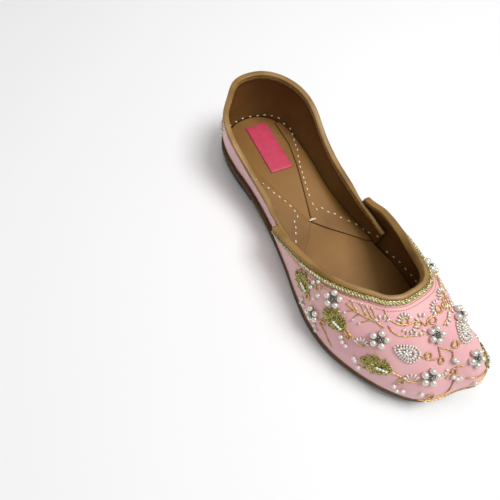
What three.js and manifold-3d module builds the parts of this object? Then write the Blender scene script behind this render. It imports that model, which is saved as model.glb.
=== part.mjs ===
// A right mojari shoe: slip-on of silk over leather with a turned-up blunt toe.
// Millimetres, +Z up. The toe points along -Y and the medial side is +X.
import * as THREE from 'three';
import { mergeVertices } from 'three/addons/utils/BufferGeometryUtils.js';
import Module from 'manifold-3d';

// Driving dimensions of the whole shoe
const shoeLength = 250;
const ballWidth = 82;
const heelHeight = 50;
const instepHeight = 47.5;

// Sole, heel and insole
const soleThickness = 5;
const heelLiftHeight = 6;
const heelLiftLength = 72;
const heelLiftInset = 1.4;
const toeSpring = 8;
const beakRise = 9.5;
const beakSize = 27;
const soleEdgeRound = 1.2;
const insoleThickness = 1.6;
const insoleLength = 226;
const flapThickness = 1;
const flapSplit = 0.4;
const bindingThickness = 0.7;
const quarterBindingWidth = 3.4;
const bindingOutside = 2;
const vampBindingWidth = 2;
const vampBindingInside = 2.4;
const braidWidth = 2.8;
const braidHeight = 1.2;
const braidGap = 0.4;
const pearlSize = 3.4;
const flowerSize = 11;
const zariHeight = 1.6;
const labelThickness = 0.5;
const labelWidth = 18;
const labelLength = 48;
const labelTurn = 4;

// Walls and clearances of the upper
const vampWall = 2;
const quarterWall = 1.8;
const soleLedge = 2.8;
const seatGap = 0.3;
const footGap = 0.47;
const lapSink = 0.35;
const wingFlareLateral = 1.5;
const wingFlareMedial = 0.5;
const quarterStand = 3.5;

// The sole edge from heel to toe, a row for each section.
// Columns: place along the length, lateral and medial edge as shares of half the ball width.
const soleEdge = [
  [0.012, 0.000, 0.000],
  [0.022, 0.317, 0.317],
  [0.056, 0.585, 0.573],
  [0.112, 0.739, 0.720],
  [0.188, 0.780, 0.756],
  [0.280, 0.756, 0.727],
  [0.368, 0.756, 0.707],
  [0.452, 0.793, 0.756],
  [0.532, 0.873, 0.815],
  [0.612, 0.983, 0.858],
  [0.688, 1.049, 0.872],
  [0.764, 1.015, 0.850],
  [0.836, 0.868, 0.812],
  [0.900, 0.663, 0.782],
  [0.944, 0.456, 0.766],
  [0.967, 0.285, 0.745],
  [0.981, 0.095, 0.690],
  [0.987, -0.195, 0.600],
  [0.995, -0.405, 0.405],
];

// The top of each rib of the upper, a row for each row of the sole edge.
// Columns: across, along and height on the lateral side, then the same on the medial side.
const ribTop = [
  [0.000, 0.014, 1.000, 0.000, 0.014, 1.000],
  [0.275, 0.029, 1.000, 0.330, 0.024, 1.000],
  [0.525, 0.074, 0.985, 0.610, 0.062, 0.985],
  [0.740, 0.122, 0.940, 0.785, 0.122, 0.950],
  [0.830, 0.188, 0.866, 0.830, 0.188, 0.866],
  [0.790, 0.280, 0.690, 0.770, 0.280, 0.690],
  [0.762, 0.368, 0.590, 0.740, 0.368, 0.590],
  [0.840, 0.456, 0.650, 0.728, 0.486, 0.612],
  [0.850, 0.536, 0.737, 0.750, 0.551, 0.715],
  [0.788, 0.606, 0.838, 0.659, 0.618, 0.815],
  [0.690, 0.655, 0.909, 0.545, 0.668, 0.895],
  [0.560, 0.692, 0.954, 0.469, 0.703, 0.945],
  [0.421, 0.720, 0.983, 0.415, 0.726, 0.981],
  [0.307, 0.742, 0.996, 0.350, 0.743, 0.996],
  [0.184, 0.753, 1.000, 0.286, 0.751, 1.000],
  [0.107, 0.757, 1.000, 0.233, 0.755, 1.000],
  [0.036, 0.758, 1.000, 0.173, 0.757, 1.000],
  [-0.014, 0.758, 1.000, 0.118, 0.758, 1.000],
  [-0.067, 0.758, 1.000, 0.067, 0.758, 1.000],
];

// How each rib bends between the sole and its top, a row for each row of the sole edge.
// Columns: upright start as a share of its height, spread on the lateral and on the medial side,
// reach out of the top as shares of half the ball width, drop below the top as a share of its
// height, and the share of the rib that the quarter covers.
const ribBend = [
  [0.38, 0.110, 0.110, 0.040, 0.35, 1.00],
  [0.38, 0.110, 0.110, 0.040, 0.35, 1.00],
  [0.36, 0.100, 0.100, 0.040, 0.33, 1.00],
  [0.34, 0.100, 0.100, 0.040, 0.32, 1.00],
  [0.32, 0.090, 0.090, 0.035, 0.30, 1.00],
  [0.30, 0.070, 0.070, 0.020, 0.30, 1.00],
  [0.30, 0.060, 0.060, 0.010, 0.30, 0.98],
  [0.34, 0.070, 0.070, 0.010, 0.32, 0.86],
  [0.36, 0.090, 0.080, 0.030, 0.30, 0.70],
  [0.38, 0.070, 0.080, 0.100, 0.22, 0.60],
  [0.40, 0.050, 0.080, 0.200, 0.13, 0.55],
  [0.42, 0.050, 0.080, 0.300, 0.10, 0.55],
  [0.42, 0.050, 0.090, 0.380, 0.09, 0.55],
  [0.42, 0.050, 0.090, 0.450, 0.09, 0.55],
  [0.40, 0.050, 0.070, 0.500, 0.10, 0.55],
  [0.38, 0.050, 0.060, 0.540, 0.10, 0.55],
  [0.34, 0.050, 0.060, 0.580, 0.10, 0.55],
  [0.30, 0.050, 0.060, 0.600, 0.10, 0.55],
  [0.28, 0.050, 0.050, 0.620, 0.10, 0.55],
];

const wasm = await Module();
wasm.setup();

const rows = soleEdge.length - 1;
const ballHalf = ballWidth / 2;
const up = new THREE.Vector3(0, 0, 1);

// Rows where the pieces of the upper begin and end
const wingRow = 7;
const quarterEndRow = 8.7;
const waistRow = 6;

function place(across, along, height) {
  return new THREE.Vector3(across, shoeLength / 2 - along, height);
}

function mix(a, b, share) {
  return a + (b - a) * share;
}

function smooth(value) {
  const t = THREE.MathUtils.clamp(value, 0, 1);
  return t * t * (3 - 2 * t);
}

// One row of every table for one side, in millimetres
function ribRow(index, side) {
  const [along, lateral, medial] = soleEdge[index];
  const tops = ribTop[index].slice(side < 0 ? 0 : 3);
  const [rise, spreadLateral, spreadMedial, reach, drop, cover] = ribBend[index];
  const topHeight = mix(heelHeight, instepHeight, smooth(index - waistRow));
  return [
    side * (side < 0 ? lateral : medial) * ballHalf,
    along * shoeLength,
    side * tops[0] * ballHalf,
    tops[1] * shoeLength,
    tops[2] * topHeight,
    rise,
    (side < 0 ? spreadLateral : spreadMedial) * ballHalf,
    reach * ballHalf,
    drop,
    cover,
  ];
}

// The rows run round the shoe: heel, lateral side, toe, medial side
const ring = [];
for (let index = 0; index <= rows; index += 1) {
  ring.push(ribRow(index, -1));
}
for (let index = rows - 1; index > 0; index -= 1) {
  ring.push(ribRow(index, 1));
}

// A smooth row at any place round the ring, counted in rows from the heel
function ringAt(turn) {
  const count = ring.length;
  const first = Math.floor(turn);
  const t = turn - first;
  const [a, b, c, d] = [-1, 0, 1, 2].map((step) => ring[(((first + step) % count) + count) % count]);
  return b.map((value, k) => {
    const start = (c[k] - a[k]) / 2;
    const end = (d[k] - value) / 2;
    const across = c[k] - value;
    return value + t * (start + t * (3 * across - 2 * start - end + t * (start + end - 2 * across)));
  });
}

// Height of the sole's upper face: heel seat, slope of the waist, flat forefoot, toe spring, beak
const heelSeatEnd = 0.24;
const forefootStart = 0.5;
const springStart = 0.74;
const beakCentre = { across: 0.585, along: 0.996 };

function soleRise(across, along) {
  const share = along / shoeLength;
  const seat = (heelLiftHeight + seatGap) * (1 - smooth((share - heelSeatEnd) / (forefootStart - heelSeatEnd)));
  const spring = toeSpring * Math.max(0, (share - springStart) / (1 - springStart)) ** 2;
  const away = Math.hypot(across - beakCentre.across * ballHalf, along - beakCentre.along * shoeLength);
  return seat + spring + beakRise * smooth(1 - away / beakSize);
}

function soleTop(across, along) {
  return soleThickness + soleRise(across, along);
}

// A point of the sole edge, moved inwards by an inset
const turnStep = 0.02;
function edgePoint(turn, inset) {
  const [across, along] = ringAt(turn);
  const before = ringAt(turn - turnStep);
  const after = ringAt(turn + turnStep);
  const tangent = new THREE.Vector2(after[0] - before[0], after[1] - before[1]).normalize();
  return { across: across + tangent.y * inset, along: along - tangent.x * inset, out: tangent };
}

// The upper's main surface: the outside of the quarter and the inside of the vamp.
// turn counts rows round the ring and rib goes from 0 at the sole to 1 at the top.
const outwardBlend = 10;
function bodyPoint(turn, rib) {
  const [, , topAcross, topAlong, topHeight, rise, spread, reach, drop] = ringAt(turn);
  const edge = edgePoint(turn, soleLedge);
  const foot = place(edge.across, edge.along, soleTop(edge.across, edge.along) + footGap);
  const top = place(topAcross, topAlong, topHeight);
  const outward = new THREE.Vector3(-edge.out.y, -edge.out.x, 0);
  const height = top.z - foot.z;
  const fan = new THREE.Vector3(foot.x - top.x, foot.y - top.y, 0);
  const topOut = fan.addScaledVector(outward, outwardBlend).normalize();
  const start = foot.clone().addScaledVector(up, rise * height).addScaledVector(outward, spread);
  const end = top.clone().addScaledVector(up, -drop * height).addScaledVector(topOut, reach);
  return new THREE.CubicBezierCurve3(foot, start, end, top).getPoint(rib);
}

// Outward normal and upward direction of that surface
const ribStep = 0.01;
function bodyFrame(turn, rib) {
  const alongTurn = bodyPoint(turn + turnStep, rib).sub(bodyPoint(turn - turnStep, rib));
  const low = Math.max(0, rib - ribStep);
  const high = Math.min(1, rib + ribStep);
  const alongRib = bodyPoint(turn, high).sub(bodyPoint(turn, low)).normalize();
  const normal = alongTurn.cross(alongRib).normalize();
  return { point: bodyPoint(turn, rib), normal, rise: alongRib };
}

// A point at a distance off the surface; at the foot it stays on the sole
function offBody(turn, rib, distance) {
  const { point, normal } = bodyFrame(turn, rib);
  if (rib > 0) {
    return point.addScaledVector(normal, distance);
  }
  normal.z = 0;
  point.addScaledVector(normal.normalize(), distance);
  point.z = soleTop(point.x, shoeLength / 2 - point.y) + footGap;
  return point;
}

// Turns points and triangles into a closed geometry whose faces point outwards
function closedGeometry(points, triangles) {
  let volume = 0;
  for (const [a, b, c] of triangles) {
    volume += points[a].dot(points[b].clone().cross(points[c]));
  }
  const order = volume < 0 ? triangles.map(([a, b, c]) => [a, c, b]) : triangles;
  const geometry = new THREE.BufferGeometry().setFromPoints(points);
  geometry.setIndex(order.flat());
  const merged = mergeVertices(geometry, 1e-4);
  const faces = [];
  for (let i = 0; i < merged.index.count; i += 3) {
    const [a, b, c] = [0, 1, 2].map((k) => merged.index.getX(i + k));
    if (a !== b && b !== c && c !== a) {
      faces.push(a, b, c);
    }
  }
  merged.setIndex(faces);
  return merged;
}

// Joins a row of closed sections into a solid; each section is a list of points, capped by outline
function sweepSolid(sections, capOutline) {
  const points = sections.flat();
  const size = sections[0].length;
  const triangles = [];
  for (let i = 0; i + 1 < sections.length; i += 1) {
    for (let k = 0; k < size; k += 1) {
      const a = i * size + k;
      const b = i * size + ((k + 1) % size);
      triangles.push([a, b, b + size], [a, b + size, a + size]);
    }
  }
  const cap = THREE.ShapeUtils.triangulateShape(capOutline, []);
  const clockwise = THREE.ShapeUtils.isClockWise(capOutline);
  const last = (sections.length - 1) * size;
  for (const [a, b, c] of cap) {
    const [first, second] = clockwise ? [c, b] : [b, c];
    triangles.push([a, second, first], [last + a, last + first, last + second]);
  }
  return closedGeometry(points, triangles);
}

// A wall between two offsets of the upper's surface, from one turn to another
function wallSolid(fromTurn, toTurn, turnCount, ribCount, ribEnd, inner, outer) {
  const sections = [];
  for (let i = 0; i <= turnCount; i += 1) {
    const turn = mix(fromTurn, toTurn, i / turnCount);
    const section = [];
    for (let j = 0; j <= ribCount; j += 1) {
      const rib = ribEnd(turn) * (j / ribCount);
      section.push(offBody(turn, rib, outer(turn, rib)));
    }
    for (let j = ribCount; j >= 0; j -= 1) {
      const rib = ribEnd(turn) * (j / ribCount);
      section.push(offBody(turn, rib, inner(turn, rib)));
    }
    sections.push(section);
  }
  const capOutline = [];
  for (let j = 0; j <= ribCount; j += 1) {
    capOutline.push(new THREE.Vector2(1, j));
  }
  for (let j = ribCount; j >= 0; j -= 1) {
    capOutline.push(new THREE.Vector2(0, j));
  }
  return sweepSolid(sections, capOutline);
}

function toManifold(geometry) {
  const vertProperties = new Float32Array(geometry.attributes.position.array);
  const triVerts = new Uint32Array(geometry.index.array);
  return new wasm.Manifold(new wasm.Mesh({ numProp: 3, vertProperties, triVerts }));
}

function fromManifold(solid) {
  const mesh = solid.getMesh();
  const geometry = new THREE.BufferGeometry();
  geometry.setAttribute('position', new THREE.BufferAttribute(new Float32Array(mesh.vertProperties), 3));
  geometry.setIndex(new THREE.BufferAttribute(new Uint32Array(mesh.triVerts), 1));
  return geometry;
}

// How far round from the rear edge of the nearer wing, in rows
function behindWing(turn) {
  return Math.min(turn - wingRow, 2 * rows - wingRow - turn);
}

function flareAt(turn, rib) {
  const flare = turn < rows ? wingFlareLateral : wingFlareMedial;
  return flare * smooth(1 - behindWing(turn)) * rib * rib;
}

// Share of a rib that the quarter covers
function quarterRib(turn) {
  return Math.min(1, ringAt(turn)[9]);
}

// The front ends of the quarter stand off the vamp's inside, most at their upper corners
const standStart = 6.6;
function standAt(turn, rib) {
  const share = (Math.abs(turn) - standStart) / (quarterEndRow - standStart);
  return quarterStand * smooth(share) * (rib / quarterRib(turn)) ** 2;
}

// The vamp laps outside the quarter and stands a little away from it at its rear corners.
// Where the two faces graze each other the join can leave crumbs, so its largest solid is kept.
function makeUpper() {
  const quarter = wallSolid(-quarterEndRow, quarterEndRow, 56, 7, quarterRib,
    (turn, rib) => -standAt(turn, rib) - quarterWall, (turn, rib) => -standAt(turn, rib));
  const vamp = wallSolid(wingRow, 2 * rows - wingRow, 60, 8, () => 1,
    (turn, rib) => flareAt(turn, rib) - lapSink, (turn, rib) => flareAt(turn, rib) + vampWall);
  const solids = toManifold(quarter).add(toManifold(vamp)).decompose();
  return fromManifold(solids.reduce((a, b) => (a.volume() > b.volume() ? a : b)));
}

// Places across a plate from one side to the other, closer together at its edges
function crossShare(k, columns) {
  return (1 - Math.cos((Math.PI * k) / columns)) / 2;
}

// A plate bounded by the sole edge from the heel to a row, and straight across there.
// Levels go from top to bottom, each with an inset and a height.
function plateSolid(levels, sideCount, columns, toRow) {
  const points = [];
  const triangles = [];
  const grids = levels.map(({ inset, height }) => {
    const grid = [];
    for (let i = 0; i <= sideCount; i += 1) {
      const row = (toRow * i) / sideCount;
      const lateral = edgePoint(row, inset(row));
      const medial = edgePoint(-row, inset(row));
      const line = [];
      for (let k = 0; k <= columns; k += 1) {
        const share = crossShare(k, columns);
        const across = mix(lateral.across, medial.across, share);
        const along = mix(lateral.along, medial.along, share);
        line.push(points.length);
        points.push(place(across, along, height(across, along)));
      }
      grid.push(line);
    }
    return grid;
  });
  const loops = grids.map((grid) => [
    ...grid.map((line) => line[0]),
    ...grid[sideCount].slice(1),
    ...grid.slice(0, -1).reverse().map((line) => line[columns]),
  ]);
  const around = loops[0].length;
  for (let level = 0; level + 1 < loops.length; level += 1) {
    for (let k = 0; k < around; k += 1) {
      const [a, b] = [loops[level][k], loops[level][(k + 1) % around]];
      const [c, d] = [loops[level + 1][(k + 1) % around], loops[level + 1][k]];
      triangles.push([a, b, c], [a, c, d]);
    }
  }
  const [top, bottom] = [grids[0], grids[grids.length - 1]];
  for (let i = 0; i < sideCount; i += 1) {
    for (let k = 0; k < columns; k += 1) {
      const corners = (grid) => [grid[i][k], grid[i + 1][k], grid[i + 1][k + 1], grid[i][k + 1]];
      const [a, b, c, d] = corners(top);
      triangles.push([a, c, b], [a, d, c]);
      const [e, f, g, h] = corners(bottom);
      triangles.push([e, f, g], [e, g, h]);
    }
  }
  return closedGeometry(points, triangles);
}

function makeOutsole() {
  const levels = [
    { inset: () => soleEdgeRound / 2, height: soleTop },
    { inset: () => 0, height: (across, along) => soleTop(across, along) - soleEdgeRound },
    { inset: () => 0, height: (across, along) => soleRise(across, along) + soleEdgeRound },
    { inset: () => soleEdgeRound, height: soleRise },
  ];
  return plateSolid(levels, 50, 6, rows);
}

// The row where the sole edge reaches a place along the shoe
function rowAlong(along) {
  let [low, high] = [0, rows];
  for (let step = 0; step < 30; step += 1) {
    const middle = (low + high) / 2;
    if (ringAt(middle)[1] < along) {
      low = middle;
    } else {
      high = middle;
    }
  }
  return low;
}

function makeHeelLift() {
  const underSole = (across, along) => soleRise(across, along) - seatGap;
  const levels = [
    { inset: () => heelLiftInset, height: underSole },
    { inset: () => heelLiftInset, height: () => soleEdgeRound },
    { inset: () => heelLiftInset + soleEdgeRound, height: () => 0 },
  ];
  return plateSolid(levels, 16, 4, rowAlong(heelLiftLength));
}

// The insole fills the upper: between the quarter's walls at the back, out to the vamp in front
const wallClearance = 0.6;
function insoleInset(row) {
  const quarter = quarterWall * smooth(quarterEndRow + 1 - row);
  return soleLedge + quarter + wallClearance;
}

function insoleTop(across, along) {
  return soleTop(across, along) + footGap + insoleThickness;
}

function makeInsole() {
  const levels = [
    { inset: insoleInset, height: insoleTop },
    { inset: insoleInset, height: (across, along) => soleTop(across, along) + footGap },
  ];
  return plateSolid(levels, 28, 5, rowAlong(insoleLength));
}

// The folded feet of the quarter lining lie on the insole and meet in a point under the instep.
// Columns: row of the sole edge, then the inner edge across from the pad's axis and along.
const padAxis = -0.05;
const flapEdge = [
  [2.6, 0.510, 0.090],
  [3.0, 0.500, 0.114],
  [4.0, 0.480, 0.185],
  [5.0, 0.350, 0.268],
  [6.0, 0.175, 0.360],
  [6.9, 0.000, 0.450],
  [7.5, 0.200, 0.488],
  [8.0, 0.440, 0.528],
  [8.5, 0.680, 0.572],
];

function makeFlap(side) {
  const sections = flapEdge.map(([row, across, along]) => {
    const outer = edgePoint(-side * row, insoleInset(row));
    const innerAcross = padAxis * ballHalf + side * (across * ballHalf + flapSplit);
    const inner = { across: innerAcross, along: along * shoeLength };
    const [low, high] = [seatGap, seatGap + flapThickness];
    return [[outer, low], [inner, low], [inner, high], [outer, high]].map(([end, lift]) => (
      place(end.across, end.along, insoleTop(end.across, end.along) + lift)
    ));
  });
  return sweepSolid(sections, squareOutline());
}

function squareOutline() {
  return [[0, 0], [1, 0], [1, 1], [0, 1]].map(([x, y]) => new THREE.Vector2(x, y));
}

// A plain label on the heel of the insole, a little crooked as in life
const labelPlace = { across: 0.05, along: 0.168 };
function makeLabel() {
  const turned = THREE.MathUtils.degToRad(labelTurn);
  const sections = [];
  for (let i = 0; i <= 6; i += 1) {
    const down = (i / 6 - 0.5) * labelLength;
    const half = labelWidth / 2;
    const low = seatGap;
    const high = seatGap + labelThickness;
    sections.push([[-half, low], [half, low], [half, high], [-half, high]].map(([side, lift]) => {
      const across = labelPlace.across * ballHalf + side * Math.cos(turned) - down * Math.sin(turned);
      const along = labelPlace.along * shoeLength + side * Math.sin(turned) + down * Math.cos(turned);
      return place(across, along, insoleTop(across, along) + lift);
    }));
  }
  return sweepSolid(sections, squareOutline());
}

// The rib place that lies a given depth below a start, measured along the wall
function ribBelow(turn, depth, startRib) {
  let rib = startRib;
  let gone = 0;
  let last = bodyPoint(turn, rib);
  while (gone < depth && rib > ribStep) {
    rib -= ribStep;
    const next = bodyPoint(turn, rib);
    const step = next.distanceTo(last);
    if (gone + step > depth) {
      return rib + (ribStep * (gone + step - depth)) / step;
    }
    gone += step;
    last = next;
  }
  return rib;
}

// A strip along a rim with one section for each place round the shoe. Each section is a list of
// pairs: distance off the wall, and height above the rim. Below the rim it follows the wall.
function rimStrip(fromTurn, toTurn, count, ribEnd, rimOffset, sectionAt) {
  const sections = [];
  for (let i = 0; i <= count; i += 1) {
    const turn = mix(fromTurn, toTurn, i / count);
    const rimRib = ribEnd(turn);
    const { normal, rise } = bodyFrame(turn, rimRib);
    const rim = offBody(turn, rimRib, rimOffset(turn, rimRib));
    sections.push(sectionAt(turn).map(([off, above]) => {
      if (above > 0) {
        return rim.clone().addScaledVector(normal, off).addScaledVector(rise, above);
      }
      const rib = ribBelow(turn, -above, rimRib);
      return offBody(turn, rib, rimOffset(turn, rib) + off);
    }));
  }
  const capOutline = sectionAt(fromTurn).map(([off, above]) => new THREE.Vector2(off, above));
  return sweepSolid(sections, capOutline);
}

// A folded leather binding astride the rim of a wall: an inner leg, a cap and an outer leg
function bindingSection(wall, innerLeg, outerLeg, outerFace) {
  const inside = -wall - seatGap;
  const groove = outerFace - bindingThickness;
  return [
    [outerFace, -outerLeg],
    [outerFace, seatGap + bindingThickness / 2],
    [(outerFace + inside) / 2, seatGap + bindingThickness],
    [inside - bindingThickness, seatGap + bindingThickness / 2],
    [inside - bindingThickness, -innerLeg],
    [inside, -innerLeg],
    [inside, seatGap],
    [groove, seatGap],
    [groove, -outerLeg],
  ];
}

// Beside the vamp the quarter binding has no outer leg, because the vamp lies there
const legRows = { start: 6.0, end: 6.35 };
const faceRows = { start: 6.4, end: 6.9 };
function makeQuarterBinding() {
  const sectionAt = (turn) => {
    const row = Math.abs(turn);
    const leg = smooth((legRows.end - row) / (legRows.end - legRows.start));
    const face = smooth((faceRows.end - row) / (faceRows.end - faceRows.start));
    const outerFace = mix(-seatGap, seatGap + bindingThickness, face);
    const outerLeg = mix(-seatGap * 0.8, bindingOutside, leg);
    return bindingSection(quarterWall, quarterBindingWidth, outerLeg, outerFace);
  };
  return rimStrip(-quarterEndRow, quarterEndRow, 56, quarterRib, (turn, rib) => -standAt(turn, rib), sectionAt);
}

const bindingEnd = 0.03;
function makeVampBinding() {
  const section = bindingSection(vampWall + lapSink, vampBindingInside, vampBindingWidth,
    seatGap + bindingThickness);
  return rimStrip(wingRow + bindingEnd, 2 * rows - wingRow - bindingEnd, 60, () => 1,
    (turn, rib) => flareAt(turn, rib) + vampWall, () => section);
}

// The twisted gold braid sewn to the vamp under its binding
function makeBraid() {
  const start = vampBindingWidth + braidGap;
  const profile = [[0, 0], [0, 0.6], [0.5, 1], [1, 0.6], [1, 0]];
  const count = 60;
  const sections = [];
  for (let i = 0; i <= count; i += 1) {
    const turn = mix(wingRow + bindingEnd, 2 * rows - wingRow - bindingEnd, i / count);
    sections.push(profile.map(([down, lift]) => {
      const rib = ribBelow(turn, start + down * braidWidth, 1);
      return offBody(turn, rib, flareAt(turn, rib) + vampWall + seatGap + lift * braidHeight);
    }));
  }
  return sweepSolid(sections, profile.map(([x, y]) => new THREE.Vector2(x, y)));
}

// The place on the surface reached by a small move along it
function moveOn(turn, rib, move) {
  const a = bodyPoint(turn + turnStep, rib).sub(bodyPoint(turn - turnStep, rib)).divideScalar(2 * turnStep);
  const b = bodyPoint(turn, rib + ribStep).sub(bodyPoint(turn, rib - ribStep)).divideScalar(2 * ribStep);
  const [aa, ab, bb, am, bm] = [a.dot(a), a.dot(b), b.dot(b), a.dot(move), b.dot(move)];
  const scale = aa * bb - ab * ab;
  return [turn + (am * bb - bm * ab) / scale, rib + (aa * bm - ab * am) / scale];
}

// A low raised motif on the vamp: rings of its outline from its rim to its middle.
// outline gives the shape as pairs, along and across its axis, from -1 to 1.
function motifSolid({ turn, rib, angle, length, width }, outline, rings) {
  const { normal, rise } = bodyFrame(turn, rib);
  const side = rise.clone().cross(normal);
  const axis = side.clone().multiplyScalar(Math.cos(angle)).addScaledVector(rise, Math.sin(angle));
  const cross = normal.clone().cross(axis);
  const pointAt = (along, across, lift) => {
    const move = axis.clone().multiplyScalar((along * length) / 2).addScaledVector(cross, (across * width) / 2);
    const [toTurn, toRib] = moveOn(turn, rib, move);
    return offBody(toTurn, toRib, vampWall + seatGap + lift);
  };
  const count = outline.length;
  const points = [pointAt(0, 0, 0)];
  for (const [share, lift] of rings) {
    for (const [along, across] of outline) {
      points.push(pointAt(along * share, across * share, lift));
    }
  }
  const topCentre = points.length;
  points.push(pointAt(0, 0, rings[rings.length - 1][1]));
  const triangles = [];
  const lastRing = 1 + (rings.length - 1) * count;
  for (let k = 0; k < count; k += 1) {
    const next = (k + 1) % count;
    triangles.push([0, 1 + next, 1 + k], [topCentre, lastRing + k, lastRing + next]);
    for (let ringIndex = 0; ringIndex + 1 < rings.length; ringIndex += 1) {
      const low = 1 + ringIndex * count;
      const high = low + count;
      triangles.push([low + k, low + next, high + next], [low + k, high + next, high + k]);
    }
  }
  return closedGeometry(points, triangles);
}

function outlineOf(count, shapeAt) {
  return Array.from({ length: count }, (_, k) => shapeAt((2 * Math.PI * k) / count, k));
}

// Five pearls round a cut stone: a lobed boss
const flowerOutline = outlineOf(15, (angle) => {
  const reach = 0.84 + 0.16 * Math.cos(5 * angle);
  return [reach * Math.cos(angle), reach * Math.sin(angle)];
});

// Seed pearls in a drop shape: round at one end and pointed at the other
const paisleyOutline = outlineOf(12, (angle) => [
  Math.cos(angle),
  Math.sin(angle) * (1 - 0.45 * Math.cos(angle)),
]);

// A leaf of gold wire with a jagged edge
const leafOutline = outlineOf(12, (angle, k) => {
  const reach = k % 2 === 0 ? 1 : 0.76;
  return [reach * Math.cos(angle), reach * Math.sin(angle) * (1 - 0.25 * Math.cos(angle))];
});

// Share of the outline and lift of each ring, from the middle of the base to the top
const beadRings = [[0.5, 0], [1, 0], [1, 0.45 * pearlSize], [0.7, 0.9 * pearlSize]];
const leafRings = [[0.5, 0], [1, 0], [0.97, 0.6 * zariHeight], [0.6, zariHeight]];

// Motifs on the vamp. Columns: row and rib on the lateral half, then on the medial half,
// and for drops and leaves the angle in degrees on the lateral half, length and width.
const flowers = [
  [10.05, 0.34, 25.80, 0.32],
  [10.45, 0.71, 24.70, 0.66],
  [12.60, 0.61, 21.80, 0.62],
  [15.15, 0.40, 18.85, 0.38],
];
const crownFlower = [16.95, 0.68];
const paisleys = [[13.80, 0.56, 23.30, 0.31, 150, 15, 10]];
const leaves = [
  [9.05, 0.53, 27.00, 0.44, 170, 15, 10],
  [10.90, 0.50, 24.80, 0.40, 169, 15, 11],
  [12.55, 0.34, 21.60, 0.21, 188, 17, 12],
];

const pearlColor = '#e6e2d6';
const zariColor = '#8f8a3c';
const motifs = [];

function addMotif(name, shape, outline, rings, color) {
  motifs.push([name, motifSolid(shape, outline, rings), color, 0.4, 0.1]);
}

function addPairs(name, table, outline, rings, color) {
  table.forEach(([turn, rib, twinTurn, twinRib, angle = 0, length = flowerSize, width = flowerSize], index) => {
    const lean = THREE.MathUtils.degToRad(angle);
    const shape = { turn, rib, angle: lean, length, width };
    const twin = { turn: twinTurn, rib: twinRib, angle: Math.PI - lean, length, width };
    addMotif(`${name}_lateral_${index + 1}`, shape, outline, rings, color);
    addMotif(`${name}_medial_${index + 1}`, twin, outline, rings, color);
  });
}

addPairs('pearl_flower', flowers, flowerOutline, beadRings, pearlColor);
addPairs('pearl_paisley', paisleys, paisleyOutline, leafRings, pearlColor);
addPairs('zari_leaf', leaves, leafOutline, leafRings, zariColor);
const crownShape = { turn: crownFlower[0], rib: crownFlower[1], angle: 0, length: flowerSize, width: flowerSize };
addMotif('pearl_flower_crown', crownShape, flowerOutline, beadRings, pearlColor);

const parts = [
  ['upper', makeUpper(), '#eeb3bd', 0.75, 0],
  ['outsole', makeOutsole(), '#7a5a36', 0.6, 0],
  ['heel_lift', makeHeelLift(), '#2a211c', 0.6, 0],
  ['insole', makeInsole(), '#8c5f32', 0.6, 0],
  ['flap_lateral', makeFlap(-1), '#94673a', 0.6, 0],
  ['flap_medial', makeFlap(1), '#94673a', 0.6, 0],
  ['label', makeLabel(), '#e13c6e', 0.7, 0],
  ['quarter_binding', makeQuarterBinding(), '#b98750', 0.5, 0],
  ['vamp_binding', makeVampBinding(), '#b98750', 0.5, 0],
  ['vamp_braid', makeBraid(), '#aa9650', 0.4, 0.6],
  ...motifs,
];

// The origin is the middle of the shoe's box, on the floor
const box = new THREE.Box3();
for (const [, geometry] of parts) {
  geometry.computeBoundingBox();
  box.union(geometry.boundingBox);
}
const middle = box.getCenter(new THREE.Vector3());

const shoe = new THREE.Group();
for (const [name, geometry, color, roughness, metalness] of parts) {
  geometry.translate(-middle.x, -middle.y, -box.min.z);
  const mesh = new THREE.Mesh(geometry, new THREE.MeshStandardMaterial({ color, roughness, metalness }));
  mesh.name = name;
  shoe.add(mesh);
}

export default shoe;
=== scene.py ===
import math
import random

import bmesh
import bpy
import numpy as np
from mathutils import Matrix, Vector
from mathutils.bvhtree import BVHTree


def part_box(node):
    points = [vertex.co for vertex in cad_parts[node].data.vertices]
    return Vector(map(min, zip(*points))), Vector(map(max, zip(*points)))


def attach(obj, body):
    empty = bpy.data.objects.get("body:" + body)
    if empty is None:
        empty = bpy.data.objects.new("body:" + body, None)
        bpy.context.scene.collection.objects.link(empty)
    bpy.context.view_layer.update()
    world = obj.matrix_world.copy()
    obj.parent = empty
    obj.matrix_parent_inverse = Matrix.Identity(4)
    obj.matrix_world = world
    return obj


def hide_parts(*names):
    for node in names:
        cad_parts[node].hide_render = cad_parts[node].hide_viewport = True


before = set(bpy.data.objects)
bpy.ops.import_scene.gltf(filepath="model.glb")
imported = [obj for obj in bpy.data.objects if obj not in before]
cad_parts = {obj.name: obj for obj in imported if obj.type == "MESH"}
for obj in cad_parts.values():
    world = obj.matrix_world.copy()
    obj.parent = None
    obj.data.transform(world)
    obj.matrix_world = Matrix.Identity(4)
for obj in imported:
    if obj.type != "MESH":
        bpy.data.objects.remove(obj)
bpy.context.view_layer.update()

# The finish of a right mojari shoe: silk over leather, leather lining and sole, bound and braided
# edges, and raised work of pearls, cut stones, bugle beads and gilt wire on the vamp.
bpy.ops.object.select_all(action="DESELECT")
bpy.context.scene.view_settings.view_transform = "Standard"
dice = random.Random(11)

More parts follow.
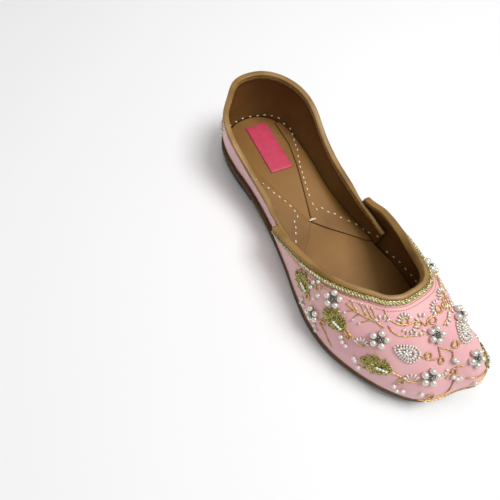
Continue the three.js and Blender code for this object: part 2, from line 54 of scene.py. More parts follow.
# Sizes of the shoe in millimetres, as in the part
SHOE_LENGTH = 250
BALL_HALF = 41
HEEL_HEIGHT = 50
INSTEP_HEIGHT = 47.5
SOLE_THICKNESS = 5
HEEL_LIFT_HEIGHT = 6
HEEL_LIFT_LENGTH = 72
HEEL_LIFT_INSET = 1.4
TOE_SPRING = 8
BEAK_RISE = 9.5
BEAK_SIZE = 27
INSOLE_THICKNESS = 1.6
INSOLE_LENGTH = 226
FLAP_THICKNESS = 1
VAMP_WALL = 2
QUARTER_WALL = 1.8
SOLE_LEDGE = 2.8
SEAT_GAP = 0.3
FOOT_GAP = 0.47
LAP_SINK = 0.35
FLARE_LATERAL = 1.5
FLARE_MEDIAL = 0.5
QUARTER_STAND = 3.5
WALL_CLEARANCE = 0.6
BINDING = 0.7
WING_ROW = 7
QUARTER_END = 8.7
WAIST_ROW = 6

# The sole edge from heel to toe: place along the length, lateral and medial edge as shares
SOLE_EDGE = [
    [0.012, 0.000, 0.000], [0.022, 0.317, 0.317], [0.056, 0.585, 0.573],
    [0.112, 0.739, 0.720], [0.188, 0.780, 0.756], [0.280, 0.756, 0.727],
    [0.368, 0.756, 0.707], [0.452, 0.793, 0.756], [0.532, 0.873, 0.815],
    [0.612, 0.983, 0.858], [0.688, 1.049, 0.872], [0.764, 1.015, 0.850],
    [0.836, 0.868, 0.812], [0.900, 0.663, 0.782], [0.944, 0.456, 0.766],
    [0.967, 0.285, 0.745], [0.981, 0.095, 0.690], [0.987, -0.195, 0.600],
    [0.995, -0.405, 0.405],
]

# The top of each rib: across, along and height, first lateral and then medial
RIB_TOP = [
    [0.000, 0.014, 1.000, 0.000, 0.014, 1.000], [0.275, 0.029, 1.000, 0.330, 0.024, 1.000],
    [0.525, 0.074, 0.985, 0.610, 0.062, 0.985], [0.740, 0.122, 0.940, 0.785, 0.122, 0.950],
    [0.830, 0.188, 0.866, 0.830, 0.188, 0.866], [0.790, 0.280, 0.690, 0.770, 0.280, 0.690],
    [0.762, 0.368, 0.590, 0.740, 0.368, 0.590], [0.840, 0.456, 0.650, 0.728, 0.486, 0.612],
    [0.850, 0.536, 0.737, 0.750, 0.551, 0.715], [0.788, 0.606, 0.838, 0.659, 0.618, 0.815],
    [0.690, 0.655, 0.909, 0.545, 0.668, 0.895], [0.560, 0.692, 0.954, 0.469, 0.703, 0.945],
    [0.421, 0.720, 0.983, 0.415, 0.726, 0.981], [0.307, 0.742, 0.996, 0.350, 0.743, 0.996],
    [0.184, 0.753, 1.000, 0.286, 0.751, 1.000], [0.107, 0.757, 1.000, 0.233, 0.755, 1.000],
    [0.036, 0.758, 1.000, 0.173, 0.757, 1.000], [-0.014, 0.758, 1.000, 0.118, 0.758, 1.000],
    [-0.067, 0.758, 1.000, 0.067, 0.758, 1.000],
]

# How each rib bends: upright start, lateral and medial spread, reach, drop, quarter's share
RIB_BEND = [
    [0.38, 0.110, 0.110, 0.040, 0.35, 1.00], [0.38, 0.110, 0.110, 0.040, 0.35, 1.00],
    [0.36, 0.100, 0.100, 0.040, 0.33, 1.00], [0.34, 0.100, 0.100, 0.040, 0.32, 1.00],
    [0.32, 0.090, 0.090, 0.035, 0.30, 1.00], [0.30, 0.070, 0.070, 0.020, 0.30, 1.00],
    [0.30, 0.060, 0.060, 0.010, 0.30, 0.98], [0.34, 0.070, 0.070, 0.010, 0.32, 0.86],
    [0.36, 0.090, 0.080, 0.030, 0.30, 0.70], [0.38, 0.070, 0.080, 0.100, 0.22, 0.60],
    [0.40, 0.050, 0.080, 0.200, 0.13, 0.55], [0.42, 0.050, 0.080, 0.300, 0.10, 0.55],
    [0.42, 0.050, 0.090, 0.380, 0.09, 0.55], [0.42, 0.050, 0.090, 0.450, 0.09, 0.55],
    [0.40, 0.050, 0.070, 0.500, 0.10, 0.55], [0.38, 0.050, 0.060, 0.540, 0.10, 0.55],
    [0.34, 0.050, 0.060, 0.580, 0.10, 0.55], [0.30, 0.050, 0.060, 0.600, 0.10, 0.55],
    [0.28, 0.050, 0.050, 0.620, 0.10, 0.55],
]
ROWS = len(SOLE_EDGE) - 1
# The row from which the quarter's rim stands in from the wall
STAND_START = 6.6
# The small steps by which slopes on the last are measured
TURN_STEP = 0.02
RIB_STEP = 0.01


# The last: the shoe's own surface
def smooth(value):
    t = np.clip(value, 0, 1)
    return t * t * (3 - 2 * t)


def rib_row(index, side):
    along, lateral, medial = SOLE_EDGE[index]
    tops = RIB_TOP[index][:3] if side < 0 else RIB_TOP[index][3:]
    rise, spread_lateral, spread_medial, reach, drop, cover = RIB_BEND[index]
    share = float(smooth(index - WAIST_ROW))
    top_height = HEEL_HEIGHT + (INSTEP_HEIGHT - HEEL_HEIGHT) * share
    return [
        side * (lateral if side < 0 else medial) * BALL_HALF,
        along * SHOE_LENGTH,
        side * tops[0] * BALL_HALF,
        tops[1] * SHOE_LENGTH,
        tops[2] * top_height,
        rise,
        (spread_lateral if side < 0 else spread_medial) * BALL_HALF,
        reach * BALL_HALF,
        drop,
        cover,
    ]


LATERAL_RIBS = [rib_row(i, -1) for i in range(ROWS + 1)]
MEDIAL_RIBS = [rib_row(i, 1) for i in range(ROWS - 1, 0, -1)]
RING = np.array(LATERAL_RIBS + MEDIAL_RIBS)


def ring_at(turn):
    """Rows of the tables at any places round the shoe, counted from the heel."""
    turn = np.atleast_1d(np.asarray(turn, float))
    first = np.floor(turn).astype(int)
    t = (turn - first)[:, None]
    a, b, c, d = (RING[(first + step) % len(RING)] for step in (-1, 0, 1, 2))
    start, end, across = (c - a) / 2, (d - b) / 2, c - b
    return b + t * (start + t * (3 * across - 2 * start - end + t * (start + end - 2 * across)))


def sole_rise(across, along):
    share = along / SHOE_LENGTH
    seat = (HEEL_LIFT_HEIGHT + SEAT_GAP) * (1 - smooth((share - 0.24) / 0.26))
    spring = TOE_SPRING * np.maximum(0, (share - 0.74) / 0.26) ** 2
    away = np.hypot(across - 0.585 * BALL_HALF, along - 0.996 * SHOE_LENGTH)
    return seat + spring + BEAK_RISE * smooth(1 - away / BEAK_SIZE)


def sole_top(across, along):
    return SOLE_THICKNESS + sole_rise(across, along)


def edge_point(turn, inset):
    here = ring_at(turn)
    tangent = ring_at(np.asarray(turn) + TURN_STEP)[:, :2] - ring_at(np.asarray(turn) - TURN_STEP)[:, :2]
    tangent /= np.linalg.norm(tangent, axis=1)[:, None]
    inset = np.broadcast_to(inset, here[:, 0].shape)
    return here[:, 0] + tangent[:, 1] * inset, here[:, 1] - tangent[:, 0] * inset, tangent


def unit(vectors):
    return vectors / np.maximum(np.linalg.norm(vectors, axis=-1, keepdims=True), 1e-9)


def last_point(turn, rib):
    turn, rib = np.broadcast_arrays(np.asarray(turn, float), np.asarray(rib, float))
    shape = turn.shape
    turn, rib = turn.ravel(), rib.ravel()
    row = ring_at(turn)
    across, along, tangent = edge_point(turn, SOLE_LEDGE)
    foot = np.stack([across, SHOE_LENGTH / 2 - along, sole_top(across, along) + FOOT_GAP], 1)
    top = np.stack([row[:, 2], SHOE_LENGTH / 2 - row[:, 3], row[:, 4]], 1)
    flat = np.zeros(len(turn))
    outward = np.stack([-tangent[:, 1], -tangent[:, 0], flat], 1)
    height = top[:, 2] - foot[:, 2]
    fan = np.stack([foot[:, 0] - top[:, 0], foot[:, 1] - top[:, 1], flat], 1)
    top_out = unit(fan + outward * 10)
    start = foot + outward * row[:, 6:7]
    start[:, 2] += row[:, 5] * height
    end = top + top_out * row[:, 7:8]
    end[:, 2] -= row[:, 8] * height
    t = rib[:, None]
    u = 1 - t
    points = u**3 * foot + 3 * u * u * t * start + 3 * u * t * t * end + t**3 * top
    return points.reshape(shape + (3,))


def last_frame(turn, rib):
    """Point, outward normal and upward direction on the last."""
    turn, rib = np.broadcast_arrays(np.asarray(turn, float), np.asarray(rib, float))
    round_way = last_point(turn + TURN_STEP, rib) - last_point(turn - TURN_STEP, rib)
    low, high = np.maximum(0, rib - RIB_STEP), np.minimum(1, rib + RIB_STEP)
    rise = unit(last_point(turn, high) - last_point(turn, low))
    return last_point(turn, rib), unit(np.cross(round_way, rise)), rise


def off_last(turn, rib, distance):
    turn, rib = np.broadcast_arrays(np.asarray(turn, float), np.asarray(rib, float))
    point, normal, _ = last_frame(turn, rib)
    distance = np.broadcast_to(distance, turn.shape)[..., None]
    level = normal.copy()
    level[..., 2] = 0
    foot = point + unit(level) * distance
    foot[..., 2] = sole_top(foot[..., 0], SHOE_LENGTH / 2 - foot[..., 1]) + FOOT_GAP
    return np.where((rib <= 0)[..., None], foot, point + normal * distance)


def flare_at(turn, rib):
    behind = np.minimum(turn - WING_ROW, 2 * ROWS - WING_ROW - turn)
    flare = np.where(turn < ROWS, FLARE_LATERAL, FLARE_MEDIAL)
    return flare * smooth(1 - behind) * rib * rib


def quarter_rib(turn):
    return np.minimum(1, ring_at(np.asarray(turn).ravel())[:, 9]).reshape(np.shape(turn))


def stand_at(turn, rib):
    share = (np.abs(turn) - STAND_START) / (QUARTER_END - STAND_START)
    return QUARTER_STAND * smooth(share) * (rib / quarter_rib(turn)) ** 2


# The CAD group is centred on its box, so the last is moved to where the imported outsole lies
around = np.linspace(0, 2 * ROWS, 721)
edge_x, edge_s, _ = edge_point(around, 0)
sole_low, sole_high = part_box("outsole")
back_end = SHOE_LENGTH / 2 - edge_s.min()
SHIFT = np.array([sole_low.x * 1000 - edge_x.min(), sole_high.y * 1000 - back_end, 0])


def to_metres(points):
    return (np.asarray(points, float) + SHIFT) * 0.001


# Mesh making
def new_piece(name, points, faces, materials, face_slots=None, uvs=None, soft=True):
    """One piece from points in millimetres, with its normals turned outwards."""
    mesh = bpy.data.meshes.new(name)
    mesh.from_pydata([tuple(p) for p in to_metres(points)], [], [tuple(f) for f in faces])
    if uvs is not None:
        layer = mesh.uv_layers.new(name="UVMap")
        corners = np.zeros(len(mesh.loops), int)
        mesh.loops.foreach_get("vertex_index", corners)
        layer.data.foreach_set("uv", np.asarray(uvs, float)[corners].ravel())
    for material in materials:
        mesh.materials.append(material)
    if face_slots is not None:
        mesh.polygons.foreach_set("material_index", list(face_slots))
    shape = bmesh.new()
    shape.from_mesh(mesh)
    bmesh.ops.recalc_face_normals(shape, faces=shape.faces)
    shape.to_mesh(mesh)
    shape.free()
    mesh.polygons.foreach_set("use_smooth", [soft] * len(mesh.polygons))
    mesh.update()
    piece = bpy.data.objects.new(name, mesh)
    bpy.context.scene.collection.objects.link(piece)
    return piece


def settle(piece, slot, *nodes):
    """The piece rides on the shoe and stands for the nodes named; its slot is not used."""
    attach(piece, "root")
    if nodes:
        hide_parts(*nodes)
    return piece


def grid_faces(rows, columns, start=0, closed=False):
    faces = []
    for i in range(rows - 1):
        for j in range(columns - 1 + closed):
            a, b = start + i * columns + j, start + i * columns + (j + 1) % columns
            faces.append((a, b, b + columns, a + columns))
    return faces


def sheet_faces(rows, columns):
    """Faces of two like grids, the outside and then the inside, and of the edge that joins them."""
    outside = grid_faces(rows, columns)
    half, last = rows * columns, (rows - 1) * columns
    inside = [tuple(v + half for v in reversed(face)) for face in outside]
    loop = [i * columns for i in range(rows)] + [last + j for j in range(1, columns)]
    loop += [i * columns + columns - 1 for i in range(rows - 2, -1, -1)] + list(range(columns - 2, 0, -1))
    edge = [(a, b, b + half, a + half) for a, b in zip(loop, loop[1:] + loop[:1])]
    return outside, inside + edge


def lengths(points):
    steps = np.linalg.norm(np.diff(points, axis=0), axis=1)
    return np.concatenate([[0], np.cumsum(steps)])


def wall(name, turns, ribs, rib_end, inner, outer, materials):
    """A wall between two offsets of the last: its outside takes the first material, the rest the second."""
    turn, rib = np.meshgrid(turns, ribs, indexing="ij")
    rib = rib * rib_end(turn)
    out_side, in_side = off_last(turn, rib, outer(turn, rib)), off_last(turn, rib, inner(turn, rib))
    count, high = turn.shape
    points = np.concatenate([out_side.reshape(-1, 3), in_side.reshape(-1, 3)])
    outside, others = sheet_faces(count, high)
    slots = [0] * len(outside) + [1] * len(others)
    u = lengths(out_side[:, high // 2])
    v = lengths(out_side[count // 2])
    flat = np.stack(np.meshgrid(u, v, indexing="ij"), -1).reshape(-1, 2) * 0.001
    return new_piece(name, points, outside + others, materials, slots, np.concatenate([flat, flat]))


def rib_below(turn, depth, start_rib):
    """Rib places that lie a depth below a start, measured along the wall."""
    ribs = np.linspace(0, 1, 201)
    found = []
    for t, d, s in zip(turn, np.broadcast_to(depth, turn.shape), np.broadcast_to(start_rib, turn.shape)):
        line = last_point(np.full(201, t), ribs)
        run = lengths(line)
        found.append(np.interp(np.interp(s, ribs, run) - d, run, ribs))
    return np.array(found)


def sweep(name, sections, material):
    """Closed sections joined into a tube with flat ends."""
    sections = np.asarray(sections)
    count, size = sections.shape[:2]
    faces = grid_faces(count, size, closed=True)
    faces += [tuple(range(size))[::-1], tuple(range((count - 1) * size, count * size))]
    u = lengths(sections.mean(1))
    v = lengths(np.vstack([sections[count // 2], sections[count // 2][:1]]))[:-1]
    flat = np.stack(np.meshgrid(u, v, indexing="ij"), -1).reshape(-1, 2) * 0.001
    return new_piece(name, sections.reshape(-1, 3), faces, [material], None, flat)


def rim_strip(name, turns, rib_end, rim_offset, section_at, material):
    """A strip astride a rim: pairs of distance off the wall and height above the rim."""
    rims = rib_end(turns)
    _, normal, rise = last_frame(turns, rims)
    rim = off_last(turns, rims, rim_offset(turns, rims))
    columns = np.array([section_at(t) for t in turns])
    sections = []
    for k in range(columns.shape[1]):
        off, above = columns[:, k, 0], columns[:, k, 1]
        over = rim + normal * off[:, None] + rise * np.maximum(0, above)[:, None]
        ribs = rib_below(turns, np.maximum(0, -above), rims)
        under = off_last(turns, ribs, rim_offset(turns, ribs) + off)
        sections.append(np.where((above > 0)[:, None], over, under))
    return sweep(name, np.swapaxes(np.array(sections), 0, 1), material)


def cross_share(k, columns):
    return (1 - math.cos(math.pi * k / columns)) / 2


def row_along(along):
    rows = np.linspace(0, ROWS, 3601)
    return float(np.interp(along, ring_at(rows)[:, 1], rows))


def plate(name, levels, side_count, columns, to_row, material):
    """A plate inside the sole edge. Levels go from its top to its bottom: inset and height."""
    rows = np.linspace(0, to_row, side_count + 1)
    shares = np.array([cross_share(k, columns) for k in range(columns + 1)])
    grids, depth = [], []
    for inset, height in levels:
        ax, a_s, _ = edge_point(rows, inset(rows))
        bx, b_s, _ = edge_point(-rows, inset(rows))
        across = ax[:, None] + (bx - ax)[:, None] * shares
        along = a_s[:, None] + (b_s - a_s)[:, None] * shares
        high = height(across, along)
        grids.append(np.stack([across, SHOE_LENGTH / 2 - along, high], -1))
        depth.append(sole_top(across, along) - high)
    wide = columns + 1
    size = (side_count + 1) * wide
    points = np.concatenate([g.reshape(-1, 3) for g in grids])
    last = side_count * wide
    loop = [i * wide for i in range(side_count + 1)] + [last + k for k in range(1, wide)]
    loop += [i * wide + columns for i in range(side_count - 1, -1, -1)]
    faces = grid_faces(side_count + 1, wide) + grid_faces(side_count + 1, wide, (len(levels) - 1) * size)
    for step in range(len(levels) - 1):
        for k in range(len(loop)):
            a, b = loop[k] + step * size, loop[(k + 1) % len(loop)] + step * size
            faces.append((a, b, b + size, a + size))
    piece = new_piece(name, points, faces, [material])
    mark = piece.data.attributes.new("depth", "FLOAT", "POINT")
    mark.data.foreach_set("value", np.concatenate([d.ravel() for d in depth]).astype(np.float32))
    shape = bmesh.new()
    shape.from_mesh(piece.data)
    bmesh.ops.remove_doubles(shape, verts=shape.verts, dist=1e-6)
    bmesh.ops.delete(shape, geom=[v for v in shape.verts if not v.link_faces], context="VERTS")
    bmesh.ops.recalc_face_normals(shape, faces=shape.faces)
    shape.to_mesh(piece.data)
    shape.free()
    return piece


# Finishes
def finish_of(name, tones, grain=60.0, rough=0.6, metal=0.0, bump=0.1, sheen=0.0, coat=0.0,
              specular=0.5, spread=0.2):
    """A material whose tone wanders between colours and whose surface has a fine grain."""
    material = bpy.data.materials.new(name)
    material.use_nodes = True
    nodes, links = material.node_tree.nodes, material.node_tree.links
    shader = nodes["Principled BSDF"]
    shader.inputs["Roughness"].default_value = rough
    shader.inputs["Metallic"].default_value = metal
    shader.inputs["Sheen Weight"].default_value = sheen
    shader.inputs["Coat Weight"].default_value = coat
    shader.inputs["Specular IOR Level"].default_value = specular
    place = nodes.new("ShaderNodeTexCoord")
    cloud = nodes.new("ShaderNodeTexNoise")
    cloud.inputs["Scale"].default_value = grain
    cloud.inputs["Detail"].default_value = 6
    links.new(place.outputs["Object"], cloud.inputs["Vector"])
    ramp = nodes.new("ShaderNodeValToRGB")
    ramp.color_ramp.elements[0].position = 0.5 - spread
    ramp.color_ramp.elements[1].position = 0.5 + spread
    ramp.color_ramp.elements[0].color = (*tones[0], 1)
    ramp.color_ramp.elements[1].color = (*tones[-1], 1)
    for k, tone in enumerate(tones[1:-1]):
        share = (k + 1) / (len(tones) - 1)
        ramp.color_ramp.elements.new(0.5 - spread + 2 * spread * share).color = (*tone, 1)
    links.new(cloud.outputs["Fac"], ramp.inputs["Fac"])
    links.new(ramp.outputs["Color"], shader.inputs["Base Color"])
    tooth = nodes.new("ShaderNodeTexNoise")
    tooth.inputs["Scale"].default_value = 900
    tooth.inputs["Detail"].default_value = 3
    links.new(place.outputs["Object"], tooth.inputs["Vector"])
    bumps = nodes.new("ShaderNodeBump")
    bumps.inputs["Strength"].default_value = bump
    bumps.inputs["Distance"].default_value = 0.0003
    links.new(tooth.outputs["Fac"], bumps.inputs["Height"])
    links.new(bumps.outputs["Normal"], shader.inputs["Normal"])
    return material


def node_parts(material):
    nodes, links = material.node_tree.nodes, material.node_tree.links
    shader = nodes["Principled BSDF"]
    ramp = next(n for n in nodes if n.bl_idname == "ShaderNodeValToRGB")
    bumps = next(n for n in nodes if n.bl_idname == "ShaderNodeBump")
    tooth = bumps.inputs["Height"].links[0].from_node
    return nodes, links, shader, ramp, bumps, tooth


def woven_silk():
    """Pale pink satin weave: warp and weft threads with thicker slubs here and there."""
    material = finish_of("woven_silk", [(0.78, 0.40, 0.44), (0.83, 0.45, 0.46), (0.87, 0.50, 0.50)],
                         grain=45, rough=0.42, sheen=0.35, specular=0.4)
    nodes, links, shader, ramp, bumps, tooth = node_parts(material)
    cloth = nodes.new("ShaderNodeUVMap")
    cloth.uv_map = "UVMap"
    threads = []
    for direction, count in (("X", 420.0), ("Y", 520.0)):
        wave = nodes.new("ShaderNodeTexWave")
        wave.bands_direction = direction
        wave.inputs["Scale"].default_value = count
        wave.inputs["Distortion"].default_value = 1.2
        wave.inputs["Detail"].default_value = 2
        links.new(cloth.outputs["UV"], wave.inputs["Vector"])
        threads.append(wave)
    weave = nodes.new("ShaderNodeMath")
    weave.operation = "MAXIMUM"
    links.new(threads[0].outputs["Fac"], weave.inputs[0])
    links.new(threads[1].outputs["Fac"], weave.inputs[1])
    stretch = nodes.new("ShaderNodeMapping")
    stretch.inputs["Scale"].default_value = (14.0, 320.0, 1.0)
    links.new(cloth.outputs["UV"], stretch.inputs["Vector"])
    slubs = nodes.new("ShaderNodeTexNoise")
    slubs.inputs["Scale"].default_value = 3.0
    links.new(stretch.outputs["Vector"], slubs.inputs["Vector"])
    height = nodes.new("ShaderNodeMath")
    height.operation = "ADD"
    links.new(weave.outputs[0], height.inputs[0])
    links.new(slubs.outputs["Fac"], height.inputs[1])
    links.new(height.outputs[0], bumps.inputs["Height"])
    bumps.inputs["Strength"].default_value = 0.10
    return material


def grained_leather(name, tones, rough=0.55, grain=30.0, pore=1500.0, bump=0.35, coat=0.0):
    """Leather with a pored grain, worn tones and finer wrinkles."""
    material = finish_of(name, tones, grain=grain, rough=rough, specular=0.35, coat=coat)
    nodes, links, shader, ramp, bumps, tooth = node_parts(material)
    place = next(n for n in nodes if n.bl_idname == "ShaderNodeTexCoord")
    pores = nodes.new("ShaderNodeTexVoronoi")
    pores.inputs["Scale"].default_value = pore
    links.new(place.outputs["Object"], pores.inputs["Vector"])
    height = nodes.new("ShaderNodeMath")
    height.operation = "MULTIPLY_ADD"
    height.inputs[1].default_value = 0.6
    links.new(pores.outputs["Distance"], height.inputs[0])
    links.new(tooth.outputs["Fac"], height.inputs[2])
    tooth.inputs["Scale"].default_value = pore / 4
    links.new(height.outputs[0], bumps.inputs["Height"])
    bumps.inputs["Strength"].default_value = bump
    return material


def layered_edge(name, tones, layers, line, rough=0.6):
    """A cut leather edge: pressed layers that follow the sole, read from the depth attribute."""
    material = grained_leather(name, tones, rough=rough, grain=120, pore=900)
    nodes, links, shader, ramp, bumps, tooth = node_parts(material)
    depth = nodes.new("ShaderNodeAttribute")
    depth.attribute_name = "depth"
    times = nodes.new("ShaderNodeMath")
    times.operation = "MULTIPLY"
    times.inputs[1].default_value = layers
    links.new(depth.outputs["Fac"], times.inputs[0])
    wave = nodes.new("ShaderNodeMath")
    wave.operation = "SINE"
    links.new(times.outputs[0], wave.inputs[0])
    shade = nodes.new("ShaderNodeMapRange")
    shade.inputs["From Min"].default_value = 0.55
    shade.inputs["From Max"].default_value = 1.0
    links.new(wave.outputs[0], shade.inputs["Value"])
    mixed = nodes.new("ShaderNodeMix")
    mixed.data_type = "RGBA"
    mixed.inputs["B"].default_value = (*line, 1)
    links.new(shade.outputs["Result"], mixed.inputs["Factor"])
    links.new(ramp.outputs["Color"], mixed.inputs["A"])
    links.new(mixed.outputs["Result"], shader.inputs["Base Color"])
    return material


SILK = woven_silk()
LINING = grained_leather("tan_lining", [(0.125, 0.058, 0.012), (0.170, 0.080, 0.018), (0.215, 0.105, 0.026)])
FOOTBED = grained_leather("tan_footbed", [(0.215, 0.098, 0.021), (0.270, 0.128, 0.029), (0.31, 0.152, 0.038)])
FLAP = grained_leather("tan_flap", [(0.19, 0.088, 0.019), (0.245, 0.116, 0.026), (0.29, 0.140, 0.034)])
ROLLED = grained_leather("rolled_binding", [(0.21, 0.110, 0.026), (0.29, 0.158, 0.041), (0.37, 0.210, 0.060)],
                         rough=0.42, grain=60, coat=0.15)
SOLE_EDGE_LEATHER = layered_edge("sole_edge", [(0.085, 0.045, 0.014), (0.13, 0.070, 0.024)],
                                 2.6, (0.04, 0.020, 0.007))
HEEL_EDGE = layered_edge("heel_edge", [(0.018, 0.012, 0.008), (0.035, 0.024, 0.016)],
                         2.4, (0.006, 0.004, 0.003), 0.45)
LABEL_CLOTH = finish_of("label_satin", [(0.55, 0.035, 0.090), (0.62, 0.055, 0.115)],
                        grain=200, rough=0.45, sheen=0.2)
STITCH = finish_of("cream_thread", [(0.78, 0.66, 0.44), (0.90, 0.80, 0.60)], grain=900, rough=0.6)
GOLD_THREAD = finish_of("gold_thread", [(0.50, 0.29, 0.09), (0.84, 0.58, 0.27)],
                        grain=900, rough=0.35, metal=0.5, spread=0.1)
SALMON_THREAD = finish_of("salmon_thread", [(0.56, 0.28, 0.14), (0.74, 0.42, 0.25)],
                          grain=500, rough=0.45, metal=0.25)
WAXED_THREAD = finish_of("waxed_thread", [(0.20, 0.10, 0.03), (0.34, 0.19, 0.07)], grain=500, rough=0.5)
BRAID_THREAD = finish_of("braid_thread", [(0.34, 0.29, 0.11), (0.80, 0.72, 0.42)],
                         grain=900, rough=0.35, metal=0.45, spread=0.12)
ZARI = finish_of("gilt_wire", [(0.09, 0.075, 0.008), (0.33, 0.28, 0.04), (0.80, 0.70, 0.30)],
                 grain=1500, rough=0.3, metal=0.6, spread=0.09)
PEARL = finish_of("pearl", [(0.78, 0.75, 0.66), (0.88, 0.85, 0.76)],
                  grain=300, rough=0.24, metal=0.5, bump=0.02, coat=0.8)
SEED = finish_of("seed_pearl", [(0.70, 0.67, 0.60), (0.88, 0.85, 0.78)],
                 grain=600, rough=0.3, metal=0.3, bump=0.02, coat=0.7)
STONE = finish_of("cut_stone", [(0.10, 0.11, 0.10), (0.34, 0.36, 0.34)],
                  grain=700, rough=0.08, metal=0.9, bump=0.0)
BUGLE = finish_of("bugle_glass", [(0.78, 0.80, 0.70), (0.90, 0.92, 0.84)],
                  grain=500, rough=0.12, bump=0.0, coat=0.8)


# Camera: the photograph's own angle to the shoe
PHOTO_SIZE = 500
SENSOR_WIDTH = 36
VIEW_FOCAL = 359.21
VIEW_RIGHT = Vector((0.8773, -0.4754, 0.0665)).normalized()
VIEW_BACK = Vector((-0.2672, -0.3685, 0.8904)).normalized()
VIEW_RIGHT = (VIEW_RIGHT - VIEW_BACK * VIEW_RIGHT.dot(VIEW_BACK)).normalized()
VIEW_UP = VIEW_BACK.cross(VIEW_RIGHT)
VIEW_PLACE = Vector((-0.11708, -0.07706, 0.22505)) + Vector(SHIFT * 0.001)


def sight(x, y):
    """The direction from the camera to a place in the photograph's frame."""
    middle = PHOTO_SIZE / 2
    return (VIEW_RIGHT * (x - middle) + VIEW_UP * (middle - y) - VIEW_BACK * VIEW_FOCAL).normalized()


def make_camera():
    lens = bpy.data.cameras.new("camera")
    lens.sensor_width = SENSOR_WIDTH
    lens.lens = VIEW_FOCAL * SENSOR_WIDTH / PHOTO_SIZE
    lens.clip_start = 0.01
    camera = bpy.data.objects.new("camera", lens)
    bpy.context.scene.collection.objects.link(camera)
    turn = Matrix((VIEW_RIGHT, VIEW_UP, VIEW_BACK)).transposed()
    camera.matrix_world = Matrix.Translation(VIEW_PLACE) @ turn.to_4x4()
    bpy.context.scene.camera = camera


def make_studio():
    bpy.ops.mesh.primitive_plane_add(size=6, location=(0, 0, -0.0002))
    floor = bpy.context.object
    floor.name = "floor"
    pale = finish_of("pale_floor", [(0.90, 0.90, 0.90), (0.92, 0.92, 0.92)], grain=3, rough=0.8, bump=0.02)
    floor.data.materials.append(pale)
    world = bpy.data.worlds.new("studio")
    world.use_nodes = True
    world.node_tree.nodes["Background"].inputs["Color"].default_value = (1, 1, 1, 1)
    world.node_tree.nodes["Background"].inputs["Strength"].default_value = 0.30
    bpy.context.scene.world = world
    for name, place, size, power in (
        ("key", (0.42, -0.25, 1.15), 0.6, 11.5),
        ("fill", (-0.7, -0.9, 0.8), 0.8, 1.0),
        ("top", (0.0, 0.35, 1.2), 0.7, 2.6),
    ):
        bpy.ops.object.light_add(type="AREA", location=place)
        light = bpy.context.object
        light.name = name
        light.data.size = size
        light.data.energy = power
        light.rotation_euler = (Vector((0, 0, 0)) - Vector(place)).to_track_quat("-Z", "Y").to_euler()


# The upper and its lining
def make_vamp():
    turns = np.linspace(WING_ROW, 2 * ROWS - WING_ROW, 331)
    piece = wall("vamp", turns, np.linspace(0, 1, 45), np.ones_like,
                 lambda t, r: flare_at(t, r) - LAP_SINK, lambda t, r: flare_at(t, r) + VAMP_WALL, [SILK, LINING])
    return settle(piece, "silk", "upper")


def make_quarter():
    turns = np.linspace(-QUARTER_END, QUARTER_END, 261)
    piece = wall("quarter", turns, np.linspace(0, 1, 33), quarter_rib,
                 lambda t, r: -stand_at(t, r) - QUARTER_WALL, lambda t, r: -stand_at(t, r), [SILK, LINING])
    return settle(piece, "silk", "upper")


def level(inset, height):
    return (lambda row: np.full(np.shape(row), float(inset)), height)


def make_outsole():
    top, bottom = sole_top, sole_rise
    levels = [
        level(0.7, top),
        level(0.25, lambda x, s: top(x, s) - 0.2),
        level(0.0, lambda x, s: top(x, s) - 0.7),
        level(0.12, lambda x, s: top(x, s) - 1.5),
        level(0.12, lambda x, s: bottom(x, s) + 1.9),
        level(0.0, lambda x, s: bottom(x, s) + 1.2),
        level(0.35, lambda x, s: bottom(x, s) + 0.4),
        level(1.2, bottom),
    ]
    piece = plate("sole", levels, 150, 14, ROWS, SOLE_EDGE_LEATHER)
    return settle(piece, "sole_leather", "outsole")


def make_heel_lift():
    levels = [
        level(HEEL_LIFT_INSET + 0.15, lambda x, s: sole_rise(x, s) - SEAT_GAP),
        level(HEEL_LIFT_INSET, lambda x, s: sole_rise(x, s) - SEAT_GAP - 0.3),
        level(HEEL_LIFT_INSET + 0.1, lambda x, s: np.full(np.shape(x), 2.6)),
        level(HEEL_LIFT_INSET, lambda x, s: np.full(np.shape(x), 1.2)),
        level(HEEL_LIFT_INSET + 0.3, lambda x, s: np.full(np.shape(x), 0.4)),
        level(HEEL_LIFT_INSET + 1.2, lambda x, s: np.zeros(np.shape(x))),
    ]
    piece = plate("heel", levels, 60, 12, row_along(HEEL_LIFT_LENGTH), HEEL_EDGE)
    return settle(piece, "heel_leather", "heel_lift")


def insole_inset(row):
    return SOLE_LEDGE + QUARTER_WALL * smooth(QUARTER_END + 1 - row) + WALL_CLEARANCE


def insole_top(across, along):
    return sole_top(across, along) + FOOT_GAP + INSOLE_THICKNESS


def make_insole():
    levels = [
        (lambda row: insole_inset(row) + 0.5, insole_top),
        (lambda row: insole_inset(row) + 0.1, lambda x, s: insole_top(x, s) - 0.2),
        (insole_inset, lambda x, s: insole_top(x, s) - 0.6),
        (insole_inset, lambda x, s: sole_top(x, s) + FOOT_GAP),
    ]
    piece = plate("footbed", levels, 100, 16, row_along(INSOLE_LENGTH), FOOTBED)
    return settle(piece, "lining_leather", "insole")


# The folded feet of the lining: row, inner edge across from the pad's axis, and along
PAD_AXIS = -0.05
FLAP_EDGE = [
    [2.6, 0.510, 0.090], [3.0, 0.500, 0.114], [4.0, 0.480, 0.185], [5.0, 0.350, 0.268], [6.0, 0.175, 0.360],
    [6.9, 0.000, 0.450], [7.5, 0.200, 0.488], [8.0, 0.440, 0.528], [8.5, 0.680, 0.572],
]
FLAP_CORNER = 6.9
# The outline of a cut through a fold: share of the way across, and share of its thickness
FLAP_SECTION = [
    (0, 0), (0.5, 0), (1, 0), (1.004, 0.4), (0.995, 0.85), (0.97, 1), (0.75, 1), (0.5, 1), (0.25, 1), (0, 1),
]


